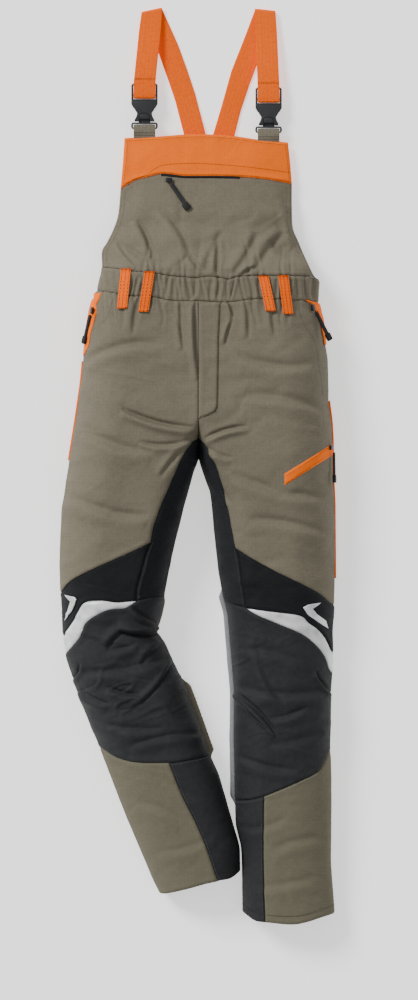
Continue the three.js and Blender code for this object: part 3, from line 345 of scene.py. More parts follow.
class Skin:
    """Front or back of a leg, or of the waist, addressed by girth (0 at the outer seam to 1) and y."""

    ROWS = np.arange(-840, 372, 4.0)
    COLUMNS = 140

    def __init__(self, outer, inner, inward, whole=False, back=False, bulges=()):
        self.back = back
        self.half_front = not (back or whole)
        self.inward = inward
        self.drape = None       # set once the cloth has been simulated
        u = (1 - np.cos(np.linspace(0, math.pi, 241))) / 2
        self.x = np.zeros((len(self.ROWS), self.COLUMNS))
        self.z = np.zeros_like(self.x)
        self.girth = np.zeros(len(self.ROWS))
        for i, y in enumerate(self.ROWS):
            start, end = outline_x(outer, y), outline_x(inner, y)
            if whole is False and y > CROTCH:
                end = CENTRE
            width = abs(end - start)
            closing = 1 if whole else ease((CLOSING_FROM - y) / CLOSING_RUN)
            out_run = min(OUTER_SHOULDER, width / 2)
            in_run = out_run if whole else min(26 + (INNER_SHOULDER - 26) * ease((60 - y) / 130), width / 2)
            if back:
                out_run = in_run = SEAM_HEIGHT
            arch = rise(u * width, out_run) * (1 - closing * (1 - rise((1 - u) * width, in_run)))
            x = start + (end - start) * u
            if back:
                z = SEAM_HEIGHT * (1 - arch)
                side = z / SEAM_HEIGHT * (u > 0.5)
                for high, low, size in bulges:
                    swell = size * ease((high - y) / 20) * ease((y - low) / 20)
                    x = x + inward * swell * 4 * side * (1 - side)
            else:
                z = SEAM_HEIGHT + (table(CROWN, y) - SEAM_HEIGHT) * arch
            run = np.concatenate(([0], np.cumsum(np.hypot(np.diff(x), np.diff(z)))))
            even = np.linspace(0, run[-1], self.COLUMNS)
            self.x[i], self.z[i] = np.interp(even, run, x), np.interp(even, run, z)
            self.girth[i] = run[-1]
        self.scale = float(np.median(self.girth))

    def place(self, t, y):
        row = np.clip((y - self.ROWS[0]) / 4.0, 0, len(self.ROWS) - 1.001)
        col = np.clip(t, 0, 1) * (self.COLUMNS - 1.001)
        i, j = row.astype(int), col.astype(int)
        fi, fj = row - i, col - j

        def mix(grid):
            low = grid[i, j] * (1 - fj) + grid[i, j + 1] * fj
            high = grid[i + 1, j] * (1 - fj) + grid[i + 1, j + 1] * fj
            return low * (1 - fi) + high * fi

        return np.stack([mix(self.x), y, mix(self.z)], axis=-1)

    def smooth_normal(self, t, y):
        dt, dy = 0.006, 2.5
        across = self.place(t + dt, y) - self.place(t - dt, y)
        along = self.place(t, y + dy) - self.place(t, y - dy)
        normal = np.cross(across, along) * self.inward * (-1 if self.back else 1)
        normal = normal / np.maximum(np.linalg.norm(normal, axis=-1, keepdims=True), 1e-9)
        if self.half_front:             # both halves rise straight up where they meet at the centre seam
            joined = (ease((t - 0.84) / 0.1) * ease((y - CROTCH + 25) / 25))[:, None]
            normal = normal * (1 - joined) + np.array([0, 0, 1.0]) * joined
        return normal

    def lift(self, t, y, height=0.0):
        """Points on the creased cloth, and a height above it."""
        flat = self.place(t, y)
        if self.back:
            calm = flat[:, 2] / SEAM_HEIGHT
            rough = ripple(flat[:, 0], y, 40, 22, 40) * 0.8 * calm
        else:
            edge = np.minimum(t, 1 - t) * self.scale
            rough = wrinkles(flat[:, 0], y) * (0.35 + 0.65 * ease(edge / 26))
            if self.drape:
                rough += self.drape.at(t, y) * drape_share(y) * ease(edge / 20) * suppleness(flat[:, 0], y)
        points = flat + self.smooth_normal(t, y) * (rough + height)[:, None]
        points[:, 2] = np.maximum(points[:, 2], 0.2)
        return points

    def across(self, x, y):
        """Girth at a plan point."""
        row = min(max((y - self.ROWS[0]) / 4.0, 0), len(self.ROWS) - 1.001)
        low = int(row)
        xs = (self.x[low] * (1 - row + low) + self.x[low + 1] * (row - low)) * self.inward
        return float(np.interp(x * self.inward, xs, np.linspace(0, 1, self.COLUMNS)))

    def flatten(self, points):
        """Plan points as places on the unrolled skin, in millimetres."""
        return [(self.across(x, y) * self.scale, y) for x, y in points]

    def raised(self, flat, height):
        return self.lift(flat[:, 0] / self.scale, flat[:, 1], height)


class BibSkin:
    """The bib: plan points lifted to its slope, joined smoothly to the round of the waist."""

    inward = 1
    drape = None

    def __init__(self, waist):
        self.waist = waist

    def base(self, x, y):
        low = table([(r[0], r[1]) for r in BIB_SIDES], y)
        high = table([(r[0], r[2]) for r in BIB_SIDES], y)
        u = np.abs(x - (low + high) / 2) / ((high - low) / 2)
        crown, edge = table(BIB_CROWN, y), table(BIB_EDGE, y)
        slope = edge + (crown - edge) * np.maximum(1 - u ** BIB_ARCH, -0.2)
        from_outer = np.minimum(x - outline_x(RIGHT_OUTER, y), outline_x(LEFT_OUTER, y) - x)
        waist = SEAM_HEIGHT + (table(CROWN, y) - SEAM_HEIGHT) * rise(from_outer, OUTER_SHOULDER)
        joined = 1 - ease((y - 336) / BIB_JOIN)
        return slope * (1 - joined) + waist * joined

    def flatten(self, points):
        return [tuple(p) for p in points]

    def raised(self, flat, height):
        x, y = flat[:, 0], flat[:, 1]
        z = self.base(x, y) + wrinkles(x, y) * 0.85 + height
        if self.drape:
            z += self.drape.at(x, y) * 0.8 * suppleness(x, y)
        return np.stack([x, y, z], axis=-1)


# ---------------------------------------------------------------- cloth panels

def resample(points, step):
    """Points spaced evenly along an open line, its own points kept."""
    result = []
    for (x0, y0), (x1, y1) in zip(points, points[1:]):
        count = max(1, round(math.hypot(x1 - x0, y1 - y0) / step))
        result += [(x0 + (x1 - x0) * i / count, y0 + (y1 - y0) * i / count) for i in range(count)]
    return result + [tuple(points[-1])]


def curved(points, step=MESH_STEP):
    """A smooth line through the given points."""
    if len(points) < 3:
        return resample(points, step)
    p = [np.array(q, float) for q in points]
    p = [2 * p[0] - p[1], *p, 2 * p[-1] - p[-2]]
    line = []
    for a, b, c, d in zip(p, p[1:], p[2:], p[3:]):
        count = max(1, round(float(np.linalg.norm(c - b)) / step))
        for i in range(count):
            t = i / count
            line.append(tuple(0.5 * (2 * b + (c - a) * t + (2 * a - 5 * b + 4 * c - d) * t * t
                                     + (3 * b - a - 3 * c + d) * t ** 3)))
    return line + [tuple(points[-1])]


def edge_distance(points, ring):
    """Distance from each point to a closed outline, and whether the point is inside it."""
    a = np.array(ring)
    b = np.roll(a, -1, axis=0)
    best = np.full(len(points), 1e9)
    inside = np.zeros(len(points), bool)
    for (x0, y0), (x1, y1) in zip(a, b):
        dx, dy = x1 - x0, y1 - y0
        along = ((points[:, 0] - x0) * dx + (points[:, 1] - y0) * dy) / max(dx * dx + dy * dy, 1e-9)
        t = np.clip(along, 0, 1)
        best = np.minimum(best, np.hypot(points[:, 0] - x0 - t * dx, points[:, 1] - y0 - t * dy))
        if y0 != y1:
            crosses = (y0 > points[:, 1]) != (y1 > points[:, 1])
            inside ^= crosses & (points[:, 0] < x0 + (points[:, 1] - y0) * dx / dy)
    return best, inside


def tidy_ring(ring):
    kept = []
    for p in ring:
        if not kept or math.hypot(p[0] - kept[-1][0], p[1] - kept[-1][1]) > 0.4:
            kept.append(p)
    if math.hypot(kept[0][0] - kept[-1][0], kept[0][1] - kept[-1][1]) <= 0.4:
        kept.pop()
    return kept


def triangulated(ring, step):
    """Fine triangles inside a closed outline: places, distances to the edge and faces."""
    ring = tidy_ring(ring)
    low, high = np.min(ring, axis=0), np.max(ring, axis=0)
    rows = np.arange(low[1], high[1] + step, step * 0.866)
    grid = []
    for k, y in enumerate(rows):
        xs = np.arange(low[0] + (k % 2) * step / 2, high[0] + step, step)
        grid.append(np.stack([xs, np.full_like(xs, y)], axis=-1))
    grid = np.concatenate(grid)
    distance, inside = edge_distance(grid, ring)
    grid = grid[inside & (distance > 0.45 * step)]
    flat = [Vector(p) for p in ring] + [Vector(p) for p in grid]
    edges = [(i, (i + 1) % len(ring)) for i in range(len(ring))]
    verts, _, faces, *_ = delaunay_2d_cdt(flat, edges, [], 1, 1e-4)
    points = np.array([tuple(v) for v in verts])
    distance, _ = edge_distance(points, ring)
    return points, distance, faces


def mesh_object(name, points, faces, material):
    mesh = bpy.data.meshes.new(name)
    mesh.from_pydata((np.asarray(points) * MM).tolist(), [], [tuple(f) for f in faces])
    mesh.update()
    piece = bpy.data.objects.new(name, mesh)
    bpy.context.scene.collection.objects.link(piece)
    mesh.materials.append(material)
    mesh.polygons.foreach_set("use_smooth", [True] * len(mesh.polygons))
    return piece


def apply_modifiers(piece):
    bpy.ops.object.select_all(action="DESELECT")
    piece.select_set(True)
    bpy.context.view_layer.objects.active = piece
    for modifier in list(piece.modifiers):
        bpy.ops.object.modifier_apply(modifier=modifier.name)


def thicken(piece, thickness):
    """Gives a sheet its thickness, on its inner side."""
    shell = piece.modifiers.new("cloth", "SOLIDIFY")
    shell.thickness = thickness * MM
    shell.offset = -1
    shell.use_even_offset = False
    apply_modifiers(piece)


def face_out(points, faces, out):
    """Turns the faces so that they look to the outer side at their middle."""
    corners = np.asarray(points)[np.array(faces[len(faces) // 2])]
    normal = np.cross(corners[1] - corners[0], corners[2] - corners[0])
    if normal @ out(corners.mean(axis=0)) < 0:
        return [tuple(reversed(f)) for f in faces]
    return faces


def up(_):
    return np.array([0, 0, 1.0])


def down(_):
    return np.array([0, 0, -1.0])


def panel(name, skin, ring, material, node, height=0.0, thickness=CLOTH, roll=SEAM_ROLL, puff=0.6,
          step=MESH_STEP, out=up):
    """One cut piece of cloth laid on a skin, with its edges rolled into the seams."""
    flat, distance, faces = triangulated(skin.flatten(ring), step)
    rolled = height - roll * np.exp(-(distance / SEAM_ROLL_WIDTH) ** 2)
    rolled += puff * np.exp(-((distance - 5) / 3.2) ** 2)
    points = skin.raised(flat, rolled)
    middle = len(faces) // 2
    faces = face_out(points, faces[middle:] + faces[:middle], out)
    piece = mesh_object(name, points, faces, material)
    corners = points[np.array(faces)]
    sides = np.cross(corners[:, 1] - corners[:, 0], corners[:, 2] - corners[:, 0])
    area = float(np.linalg.norm(sides, axis=1).sum() / 2) * MM * MM
    size = (flat.max(axis=0) - flat.min(axis=0)) * MM
    thicken(piece, thickness)
    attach(piece, "garment")
    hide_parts(node)
    width, length = sorted(float(v) for v in size)
    if area < 0.45 * width * length:         # a slanting strip: its own length and mean width
        length = math.hypot(width, length)
        width = area / (0.7 * length)
    width = max(width, area / length)
    return piece


def side_line(skin, t, y0, y1):
    """Points along the outer (t = 0) or inner (t = 1) seam of a skin, on the unrolled skin."""
    return resample([(t * skin.scale, y0), (t * skin.scale, y1)], MESH_STEP)


# ---------------------------------------------------------------- materials

def linear(code):
    channels = [int(code[i:i + 2], 16) / 255 for i in (1, 3, 5)]
    return [c / 12.92 if c <= 0.04045 else ((c + 0.055) / 1.055) ** 2.4 for c in channels] + [1]


def add_node(tree, kind, inputs=None, **settings):
    node = tree.nodes.new(kind)
    for key, value in settings.items():
        setattr(node, key, value)
    for key, value in (inputs or {}).items():
        if isinstance(value, bpy.types.NodeSocket):
            tree.links.new(value, node.inputs[key])
        else:
            node.inputs[key].default_value = value
    return node


def new_material(name, roughness, metallic=0.0, sheen=0.0, specular=0.5):
    material = bpy.data.materials.new(name)
    material.use_nodes = True
    tree = material.node_tree
    shader = tree.nodes["Principled BSDF"]
    shader.inputs["Roughness"].default_value = roughness
    shader.inputs["Metallic"].default_value = metallic
    shader.inputs["Sheen Weight"].default_value = sheen
    shader.inputs["Sheen Roughness"].default_value = 0.6
    shader.inputs["Specular IOR Level"].default_value = specular
    return material, tree, shader


def noise(tree, coordinates, size_mm, detail, **inputs):
    """Random pattern with features of about the given size."""
    values = {"Vector": coordinates, "Scale": 1000 / size_mm, "Detail": detail, **inputs}
    return add_node(tree, "ShaderNodeTexNoise", values).outputs["Fac"]


def squares(tree, coordinates, cell_mm, line_mm, softness):
    """Lines crossing in squares, as thicker threads in a weave."""
    values = {"Vector": coordinates, "Scale": 1.0, "Mortar Size": line_mm * MM, "Mortar Smooth": softness,
              "Brick Width": cell_mm * MM, "Row Height": cell_mm * MM}
    return add_node(tree, "ShaderNodeTexBrick", values, offset=0.0, squash=1.0).outputs["Fac"]


def mottled(tree, coordinates, base, light, dark, size_mm, detail):
    """Cloth colour that drifts between a lighter and a darker shade over the given size."""
    drift = noise(tree, coordinates, size_mm, detail, Roughness=0.6)
    ramp = add_node(tree, "ShaderNodeValToRGB", {"Fac": drift})
    ramp.color_ramp.elements[0].position = 0.3
    ramp.color_ramp.elements[0].color = linear(dark)
    ramp.color_ramp.elements[1].position = 0.72
    ramp.color_ramp.elements[1].color = linear(light)
    middle = ramp.color_ramp.elements.new(0.5)
    middle.color = linear(base)
    return ramp.outputs["Color"]


def bands(tree, coordinates, pitch_mm, direction="DIAGONAL"):
    """Ridges of the given pitch: a wave node of scale 1 has 20 / pi of them to the metre."""
    values = {"Vector": coordinates, "Scale": 1000 / pitch_mm * math.pi / 20}
    node = add_node(tree, "ShaderNodeTexWave", values, wave_type="BANDS", bands_direction=direction)
    return node.outputs["Fac"]


def bumped(tree, shader, height, depth_mm, strength):
    values = {"Height": height, "Distance": depth_mm * MM, "Strength": strength}
    tree.links.new(add_node(tree, "ShaderNodeBump", values).outputs["Normal"], shader.inputs["Normal"])


def mixed(tree, a, b, factor):
    node = add_node(tree, "ShaderNodeMix", data_type="RGBA")
    for socket, value in (("Factor", factor), ("A", a), ("B", b)):
        target = next(s for s in node.inputs if s.name == socket and s.enabled)
        if isinstance(value, bpy.types.NodeSocket):
            tree.links.new(value, target)
        else:
            target.default_value = value
    return next(s for s in node.outputs if s.enabled)


def part_of(tree, pattern, share):
    """A pattern at a share of its strength."""
    return add_node(tree, "ShaderNodeMath", {0: pattern, 1: share}, operation="MULTIPLY").outputs[0]


def summed(tree, a, b):
    return add_node(tree, "ShaderNodeMath", {0: a, 1: b}, operation="ADD").outputs[0]


def object_place(tree):
    return add_node(tree, "ShaderNodeTexCoord").outputs["Object"]


def coloured(tree, shader, colour):
    tree.links.new(colour, shader.inputs["Base Color"])


def twill(name, base, light, dark, roughness=0.92, sheen=0.0):
    """Twill: diagonal ribs, drawn at about twice their real pitch so that they show, with a matt nap."""
    material, tree, shader = new_material(name, roughness, sheen=sheen, specular=0.2)
    place = object_place(tree)
    shade = mottled(tree, place, base, light, dark, 5, 6)
    ribs = bands(tree, place, 1.3)
    grain = noise(tree, place, 1.6, 2)
    speckled = mixed(tree, shade, linear(dark), part_of(tree, grain, 0.2))
    crossed = mixed(tree, speckled, linear(dark), part_of(tree, squares(tree, place, 6, 0.6, 0.5), 0.5))
    coloured(tree, shader, mixed(tree, crossed, linear(light), part_of(tree, ribs, 0.16)))
    bumped(tree, shader, summed(tree, part_of(tree, ribs, 0.5), part_of(tree, grain, 0.8)), 0.35, 0.55)
    return material


def ripstop(name, base, light, dark, cell=5.5):
    """Ripstop: a plain weave crossed by thicker threads in squares of about 5 mm."""
    material, tree, shader = new_material(name, 0.78, specular=0.3)
    place = object_place(tree)
    shade = mottled(tree, place, base, light, dark, 8, 6)
    lines = squares(tree, place, cell, 0.09 * cell, 0.3)
    weave = noise(tree, place, 1.2, 2)
    coloured(tree, shader, mixed(tree, shade, linear(light), part_of(tree, lines, 0.25)))
    bumped(tree, shader, summed(tree, part_of(tree, lines, 0.7), part_of(tree, weave, 0.6)), 0.3, 0.5)
    return material


def webbing(name, base, light, dark):
    """Woven webbing: ribs of 1.5 mm across it, crossed by cords 3.2 mm apart, on its own UV map."""
    material, tree, shader = new_material(name, 0.88, specular=0.2)
    uv = add_node(tree, "ShaderNodeUVMap", uv_map="length").outputs["UV"]
    shade = mottled(tree, uv, base, light, dark, 5, 6)
    weave = part_of(tree, bands(tree, uv, 1.5, "Y"), bands(tree, uv, 3.2, "X"))
    coloured(tree, shader, mixed(tree, shade, linear(dark), part_of(tree, weave, 0.35)))
    bumped(tree, shader, weave, 0.35, 0.7)
    return material


def moulded(name, base, light, roughness, grain, metallic=0.0, specular=0.5):
    """Moulded plastic, rubber or cast metal with a fine spark-eroded grain."""
    material, tree, shader = new_material(name, roughness, metallic, specular=specular)
    pits = noise(tree, object_place(tree), grain, 3)
    coloured(tree, shader, mixed(tree, linear(base), linear(light), pits))
    bumped(tree, shader, pits, 0.08, 0.4)
    return material


def reflective_tape(name, base, light, dark):
    """Glass-bead film, with painted light and shade in its colour: lighter specks as a painted sparkle of the
    beads, and soft lighter and darker bands as painted shade where the tape has been bent.
    """
    material, tree, shader = new_material(name, 0.42, metallic=0.1)
    place = object_place(tree)
    # painted shade and painted light: the colour drifts over 26 mm between a lit and a shaded copy of the tape,
    # as its bends catch the light
    tape_with_painted_bend_shade = mottled(tree, place, base, light, dark, 26, 1)
    bead_bumps_and_painted_sparkle = noise(tree, place, 1.1, 3)
    # the bead specks lighten the colour as a painted sparkle; as a bump they are the beads' real grain
    coloured(tree, shader, mixed(tree, tape_with_painted_bend_shade, linear(light), part_of(tree, bead_bumps_and_painted_sparkle, 0.5)))
    bumped(tree, shader, bead_bumps_and_painted_sparkle, 0.08, 0.4)
    return material


def thread(name, base):
    """Spun polyester sewing thread: matt, with painted shade in darker flecks between its fibres."""
    material, tree, shader = new_material(name, 0.75, specular=0.2)
    # painted shade: random flecks darkened toward black stand in for the shadow between the fibres
    painted_fibre_shade = part_of(tree, noise(tree, object_place(tree), 1 / 0.9, 1), 0.3)
    coloured(tree, shader, mixed(tree, linear(base), linear("#000000"), painted_fibre_shade))
    return material


# Matt stretch twill of polyester and cotton: no shine, a faint grid of thicker threads.
KHAKI = twill("khaki_stretch_twill", "#706a5b", "#756f60", "#686253")
# The shins are the same twill with a coating, which makes it a little greener and darker.
SHIN_KHAKI = twill("khaki_coated_twill", "#676353", "#6b6757", "#625e4e")
# Fluorescent dyed twill: as strong a colour as cloth has.
ORANGE = twill("hivis_orange_twill", "#fc7000", "#ff7804", "#f66800")
# Coated nylon ripstop on the knees: near black, its squares just show.
CHARCOAL = ripstop("charcoal_coated_ripstop", "#242527", "#29292b", "#202123")
# Uncoated stretch ripstop behind the left knee, greyed like washed cloth.
BACK_GREY = ripstop("grey_stretch_ripstop", "#85868a", "#8e8f92", "#7a7b7f")
# Coated twill of the bands: smoother and blacker than the knees.
BLACK_BAND = twill("black_coated_twill", "#141619", "#191c1f", "#101214", roughness=0.75)
GUSSET_BLACK = twill("black_stretch_twill", "#212326", "#27292c", "#1b1d20", roughness=0.85)
# The tape's lighter and darker shades are painted light and painted shade for its bends.
REFLECTIVE = reflective_tape("glass_bead_reflective_tape", "#dededf", "#f4f4f5", "#bcbdbf")
# Elastic and plain polyester webbing: dull, with its weave seen from close by.
ORANGE_WEBBING = webbing("orange_elastic_webbing", "#fa6600", "#ff7004", "#ee5c00")
KHAKI_WEBBING = webbing("khaki_polyester_webbing", "#767061", "#7c7667", "#6c6657")
# Layers of loose protective fibre: cream, with a soft sheen.
PAD = twill("cut_protection_fibre", "#d8d5c8", "#e6e3d8", "#c0bcae", sheen=0.3)
# Moulded acetal: an even satin black. Lacquered zinc: tighter highlights. Rubber: none.
ACETAL = moulded("black_moulded_acetal", "#1b1e20", "#222527", 0.5, grain=0.7)
ZIP_METAL = moulded("black_lacquered_zinc_alloy", "#26282a", "#34363a", 0.35, metallic=0.7, grain=1.5)
PULL_RUBBER = moulded("black_moulded_rubber", "#0a0b0c", "#121315", 0.6, grain=1.0, specular=0.3)
ZIP_TAPE = ripstop("black_zip_tape", "#111213", "#1d1e20", "#0a0a0b", cell=1.6)
DARK_THREAD = thread("dark_olive_thread", "#38352b")
BROWN_THREAD = thread("dark_brown_thread", "#6a2408")
BLACK_THREAD = thread("black_thread", "#08090a")
GREY_THREAD = thread("grey_thread", "#606264")


# ---------------------------------------------------------------- garment skins

RIGHT = Skin(RIGHT_OUTER, RIGHT_INNER, 1)
LEFT = Skin(LEFT_OUTER, LEFT_INNER, -1)
WAIST = Skin(RIGHT_OUTER, LEFT_OUTER, 1, whole=True)
BIB = BibSkin(WAIST)
RIGHT_BACK = Skin(RIGHT_OUTER, RIGHT_INNER, 1, back=True, bulges=((-225, -300, 6), (-372, -522, 15)))
LEFT_BACK = Skin(LEFT_OUTER, LEFT_INNER, -1, back=True, bulges=((-215, -605, 11),))
WAIST_BACK = Skin(RIGHT_OUTER, LEFT_OUTER, 1, whole=True, back=True)


CLOTH_STEP = 5.5            # grid of the simulated cloth
SPARE_CLOTH = 0.055         # how much longer the cloth is than the shape it lies on
DRAPE_LIMIT = 5.5           # the furthest that a simulated fold stands off
DRAPE_FRAMES = 25


def blurred(grid, reach):
    """The grid with everything smaller than the reach, in cells, smoothed away."""
    offsets = np.arange(-3 * reach, 3 * reach + 1)
    weights = np.exp(-(offsets / reach) ** 2)
    weights /= weights.sum()
    for _ in range(2):
        padded = np.pad(grid, ((0, 0), (3 * reach, 3 * reach)), mode="edge")
        grid = np.array([np.convolve(row, weights, mode="valid") for row in padded]).T
    return grid


def cloth_patch(name, points, columns):
    """A sheet of cloth held at its border, a little longer than the place it has."""
    count = len(points)
    faces = [(k, k + 1, k + columns + 1, k + columns) for k in range(count - columns) if (k + 1) % columns]
    piece = mesh_object(name, points, faces, KHAKI)
    held = piece.vertex_groups.new(name="held")
    sides = [k for k in range(count) if k % columns in (0, columns - 1)]
    held.add([*sides, *range(columns), *range(count - columns, count)], 1.0, "REPLACE")
    settings = piece.modifiers.new("cloth", "CLOTH").settings
    settings.quality = 4
    settings.mass = 0.3
    settings.tension_stiffness = settings.compression_stiffness = 12
    settings.shear_stiffness = 4
    settings.bending_stiffness = 0.6
    settings.shrink_min = -SPARE_CLOTH
    settings.vertex_group_mass = "held"
    settings.effector_weights.gravity = 0
    return piece


def simulate_drape():
    """Lets the legs and the bib buckle as padded cloth does between its seams."""
    patches = []
    for skin, low, high in ((RIGHT, -752, 292), (LEFT, -808, 292), (BIB, 345, 512)):
        v = np.arange(low, high, CLOTH_STEP)
        u = np.linspace(-148, 182, 60) if skin is BIB else np.linspace(0, 1, 48)
        grid_u, grid_v = (g.ravel() for g in np.meshgrid(u, v))
        if skin is BIB:
            points = skin.raised(np.column_stack([grid_u, grid_v]), 0)
            normals = np.tile([0.0, 0.0, 1.0], (len(grid_u), 1))
        else:
            points = skin.lift(grid_u, grid_v)
            normals = skin.smooth_normal(grid_u, grid_v)
        patches.append((skin, u, v, points, normals, cloth_patch("draping_cloth", points, len(u))))
    for frame_number in range(1, DRAPE_FRAMES + 1):
        bpy.context.scene.frame_set(frame_number)
    graph = bpy.context.evaluated_depsgraph_get()
    for skin, u, v, points, normals, piece in patches:
        mesh = piece.evaluated_get(graph).data
        moved = np.zeros(len(points) * 3)
        mesh.vertices.foreach_get("co", moved)
        off = ((moved.reshape(-1, 3) / MM - points) * normals).sum(axis=1).reshape(len(v), len(u))
        skin.drape = Drape(u, v, DRAPE_LIMIT * np.tanh((blurred(off, 1) - blurred(off, 6)) / DRAPE_LIMIT))
    bpy.context.scene.frame_set(1)
    for *_, piece in patches:
        bpy.data.objects.remove(piece)


class Unrolled:
    """Lets panel() take rings that are already on the unrolled skin."""

    def __init__(self, skin):
        self.skin, self.inward = skin, skin.inward

    def flatten(self, ring):
        return ring

    def raised(self, flat, height):
        return self.skin.raised(flat, height)


def on(skin, points):
    """A smooth seam line on the unrolled skin."""
    return skin.flatten(curved(points))


def nearest(points, place):
    return min(range(len(points)), key=lambda i: math.dist(points[i], place))


def leg_panels(side, skin, seams):
    def seam(key, part=slice(None)):
        return on(skin, seams[key][part])

    def outer(start, end):
        return side_line(skin, 0, start, end)

    def inner(start, end):
        return side_line(skin, 1, start, end)

    top = {key: line[0][1] for key, line in seams.items()}
    end = {key: line[-1][1] for key, line in seams.items()}
    split = nearest(seams["knee"], seams["shin"][0])
    cut = nearest(seams["hem"], seams["shin"][-1])
    shin = seam("shin")
    hem_out = on(skin, [*seams["hem"][:cut], seams["shin"][-1]])
    hem_in = on(skin, [seams["shin"][-1], *seams["hem"][cut + 1:]])
    thigh = seams["waist_line"] + inner(end["waist"], top["gusset"]) + seam("gusset") + seam("band")
    thigh += outer(end["band"], top["waist"])
    gusset = seam("gusset") + seam("gusset_side") + seam("gusset_hem") + inner(end["gusset_hem"], top["gusset"])
    band = seam("band") + outer(end["band"], end["stripe_top"]) + seam("stripe_top")[::-1]
    band += seam("gusset_side")[::-1]
    stripe = seam("stripe_top") + outer(end["stripe_top"], end["stripe_hem"]) + seam("stripe_hem")[::-1]
    knee = seam("gusset_hem")[::-1] + seam("stripe_hem") + outer(end["stripe_hem"], top["knee"])
    knee += seam("knee") + inner(end["knee"], end["gusset_hem"])
    outer_shin = seam("knee", slice(split + 1)) + shin + hem_out[::-1] + outer(top["hem"], top["knee"])
    inner_shin = seam("knee", slice(split, None)) + inner(end["knee"], end["hem"]) + hem_in[::-1] + shin[::-1]
    for name, ring, material, slot, height, roll in (
            ("thigh_panel", thigh, KHAKI, "beige_twill", 0.7, 0.9),
            ("gusset", gusset, GUSSET_BLACK, "gusset_fabric", 0, SEAM_ROLL),
            ("knee_band", band, BLACK_BAND, "black_fabric", 0, SEAM_ROLL),
            ("reflective_stripe", stripe, REFLECTIVE, "reflective_tape", 0, SEAM_ROLL),
            ("knee_panel", knee, CHARCOAL, "charcoal_ripstop", 0, SEAM_ROLL),
            ("shin_panel", outer_shin, SHIN_KHAKI, "shin_twill", 0, SEAM_ROLL),
            ("inner_shin_panel", inner_shin, CHARCOAL, "charcoal_ripstop", 0, SEAM_ROLL)):
        panel(f"{name}_cloth_{side}", Unrolled(skin), ring, material, f"{name}_{side}", height, roll=roll)


RIGHT_SEAMS = {
    "waist": WAIST_LOW_RIGHT, "waist_line": on(RIGHT, WAIST_LOW_RIGHT), "gusset": GUSSET_RIGHT,
    "band": BAND_RIGHT, "gusset_side": GUSSET_SIDE_RIGHT, "gusset_hem": GUSSET_HEM_RIGHT,
    "stripe_top": STRIPE_TOP_RIGHT,
    "stripe_hem": STRIPE_HEM_RIGHT, "knee": KNEE_HEM_RIGHT, "shin": SHIN_RIGHT, "hem": HEM_RIGHT,
}
LEFT_SEAMS = {
    "waist": WAIST_LOW_LEFT[::-1], "waist_line": on(LEFT, WAIST_LOW_LEFT[::-1]), "gusset": GUSSET_LEFT,
    "band": BAND_LEFT, "gusset_side": GUSSET_SIDE_LEFT, "gusset_hem": GUSSET_HEM_LEFT,
    "stripe_top": STRIPE_TOP_LEFT,
    "stripe_hem": STRIPE_HEM_LEFT, "knee": KNEE_HEM_LEFT, "shin": SHIN_LEFT, "hem": HEM_LEFT,
}


def back_panels():
    """One long panel behind each leg, the left one with a stretch insert beside the knee."""
    high, low, slant = -205, -615, 36
    seam_x, insert_x = LEFT_BACK.scale, 0.82 * LEFT_BACK.scale
    corners = [(seam_x, high), (insert_x, high - slant), (insert_x, low + slant), (seam_x, low)]
    insert = resample(corners, MESH_STEP)
    for side, skin, seams in (("right", RIGHT_BACK, RIGHT_SEAMS), ("left", LEFT_BACK, LEFT_SEAMS)):
        waist, hem = seams["waist"], seams["hem"]
        inner = side_line(skin, 1, waist[-1][1], hem[-1][1])
        if side == "left":
            inner = side_line(skin, 1, waist[-1][1], high) + insert + side_line(skin, 1, low, hem[-1][1])
        ring = on(skin, waist) + inner + on(skin, hem)[::-1] + side_line(skin, 0, hem[0][1], waist[0][1])
        panel(f"back_panel_cloth_{side}", Unrolled(skin), ring, KHAKI, f"back_panel_{side}",
              step=MESH_STEP * 1.6, out=down)
    ring = side_line(LEFT_BACK, 1, high, low) + insert[::-1]
    panel("back_insert_cloth_left", Unrolled(LEFT_BACK), ring, BACK_GREY, "back_panel_left",
          out=down)


def waist_panels():
    low = WAIST_LOW_RIGHT + WAIST_LOW_LEFT[1:]
    for name, skin, out, height, step in (("waistband_front", WAIST, up, 0.8, 2.4),
                                          ("waistband_back", WAIST_BACK, down, 0, MESH_STEP)):
        ring = on(skin, WAIST_TOP) + side_line(skin, 1, WAIST_TOP[-1][1], low[-1][1])
        ring += on(skin, low)[::-1] + side_line(skin, 0, low[0][1], WAIST_TOP[0][1])
        panel(f"{name}_cloth", Unrolled(skin), ring, KHAKI, name, height, step=step,
              out=out)


def bib_panels():
    ring = curved(BIB_EDGE_RIGHT) + curved(WAIST_TOP) + curved(BIB_EDGE_LEFT) + curved(YOKE_LOW)[::-1]
    panel("bib_cloth", BIB, ring, KHAKI, "bib_panel")
    yoke = curved(YOKE_TOP) + [(164, 540)] + curved(YOKE_LOW)[::-1] + [(-134, 540)]
    panel("bib_yoke_cloth", BIB, yoke, ORANGE, "bib_yoke", height=1.6)
    tape = curved([(-66, 514.5), (-20, 511.5), (24, 511.5), (74, 510)])
    tape += curved([(74, 518), (24, 520), (-66, 524)])
    panel("bib_zip_tape_cloth", BIB, tape, ZIP_TAPE, "bib_zip_tape", height=0.7, thickness=0.6,
          roll=0.3, puff=0)


def closed(points, step):
    """A straight-sided outline as a ring of close points."""
    return resample([*points, points[0]], step)[:-1]


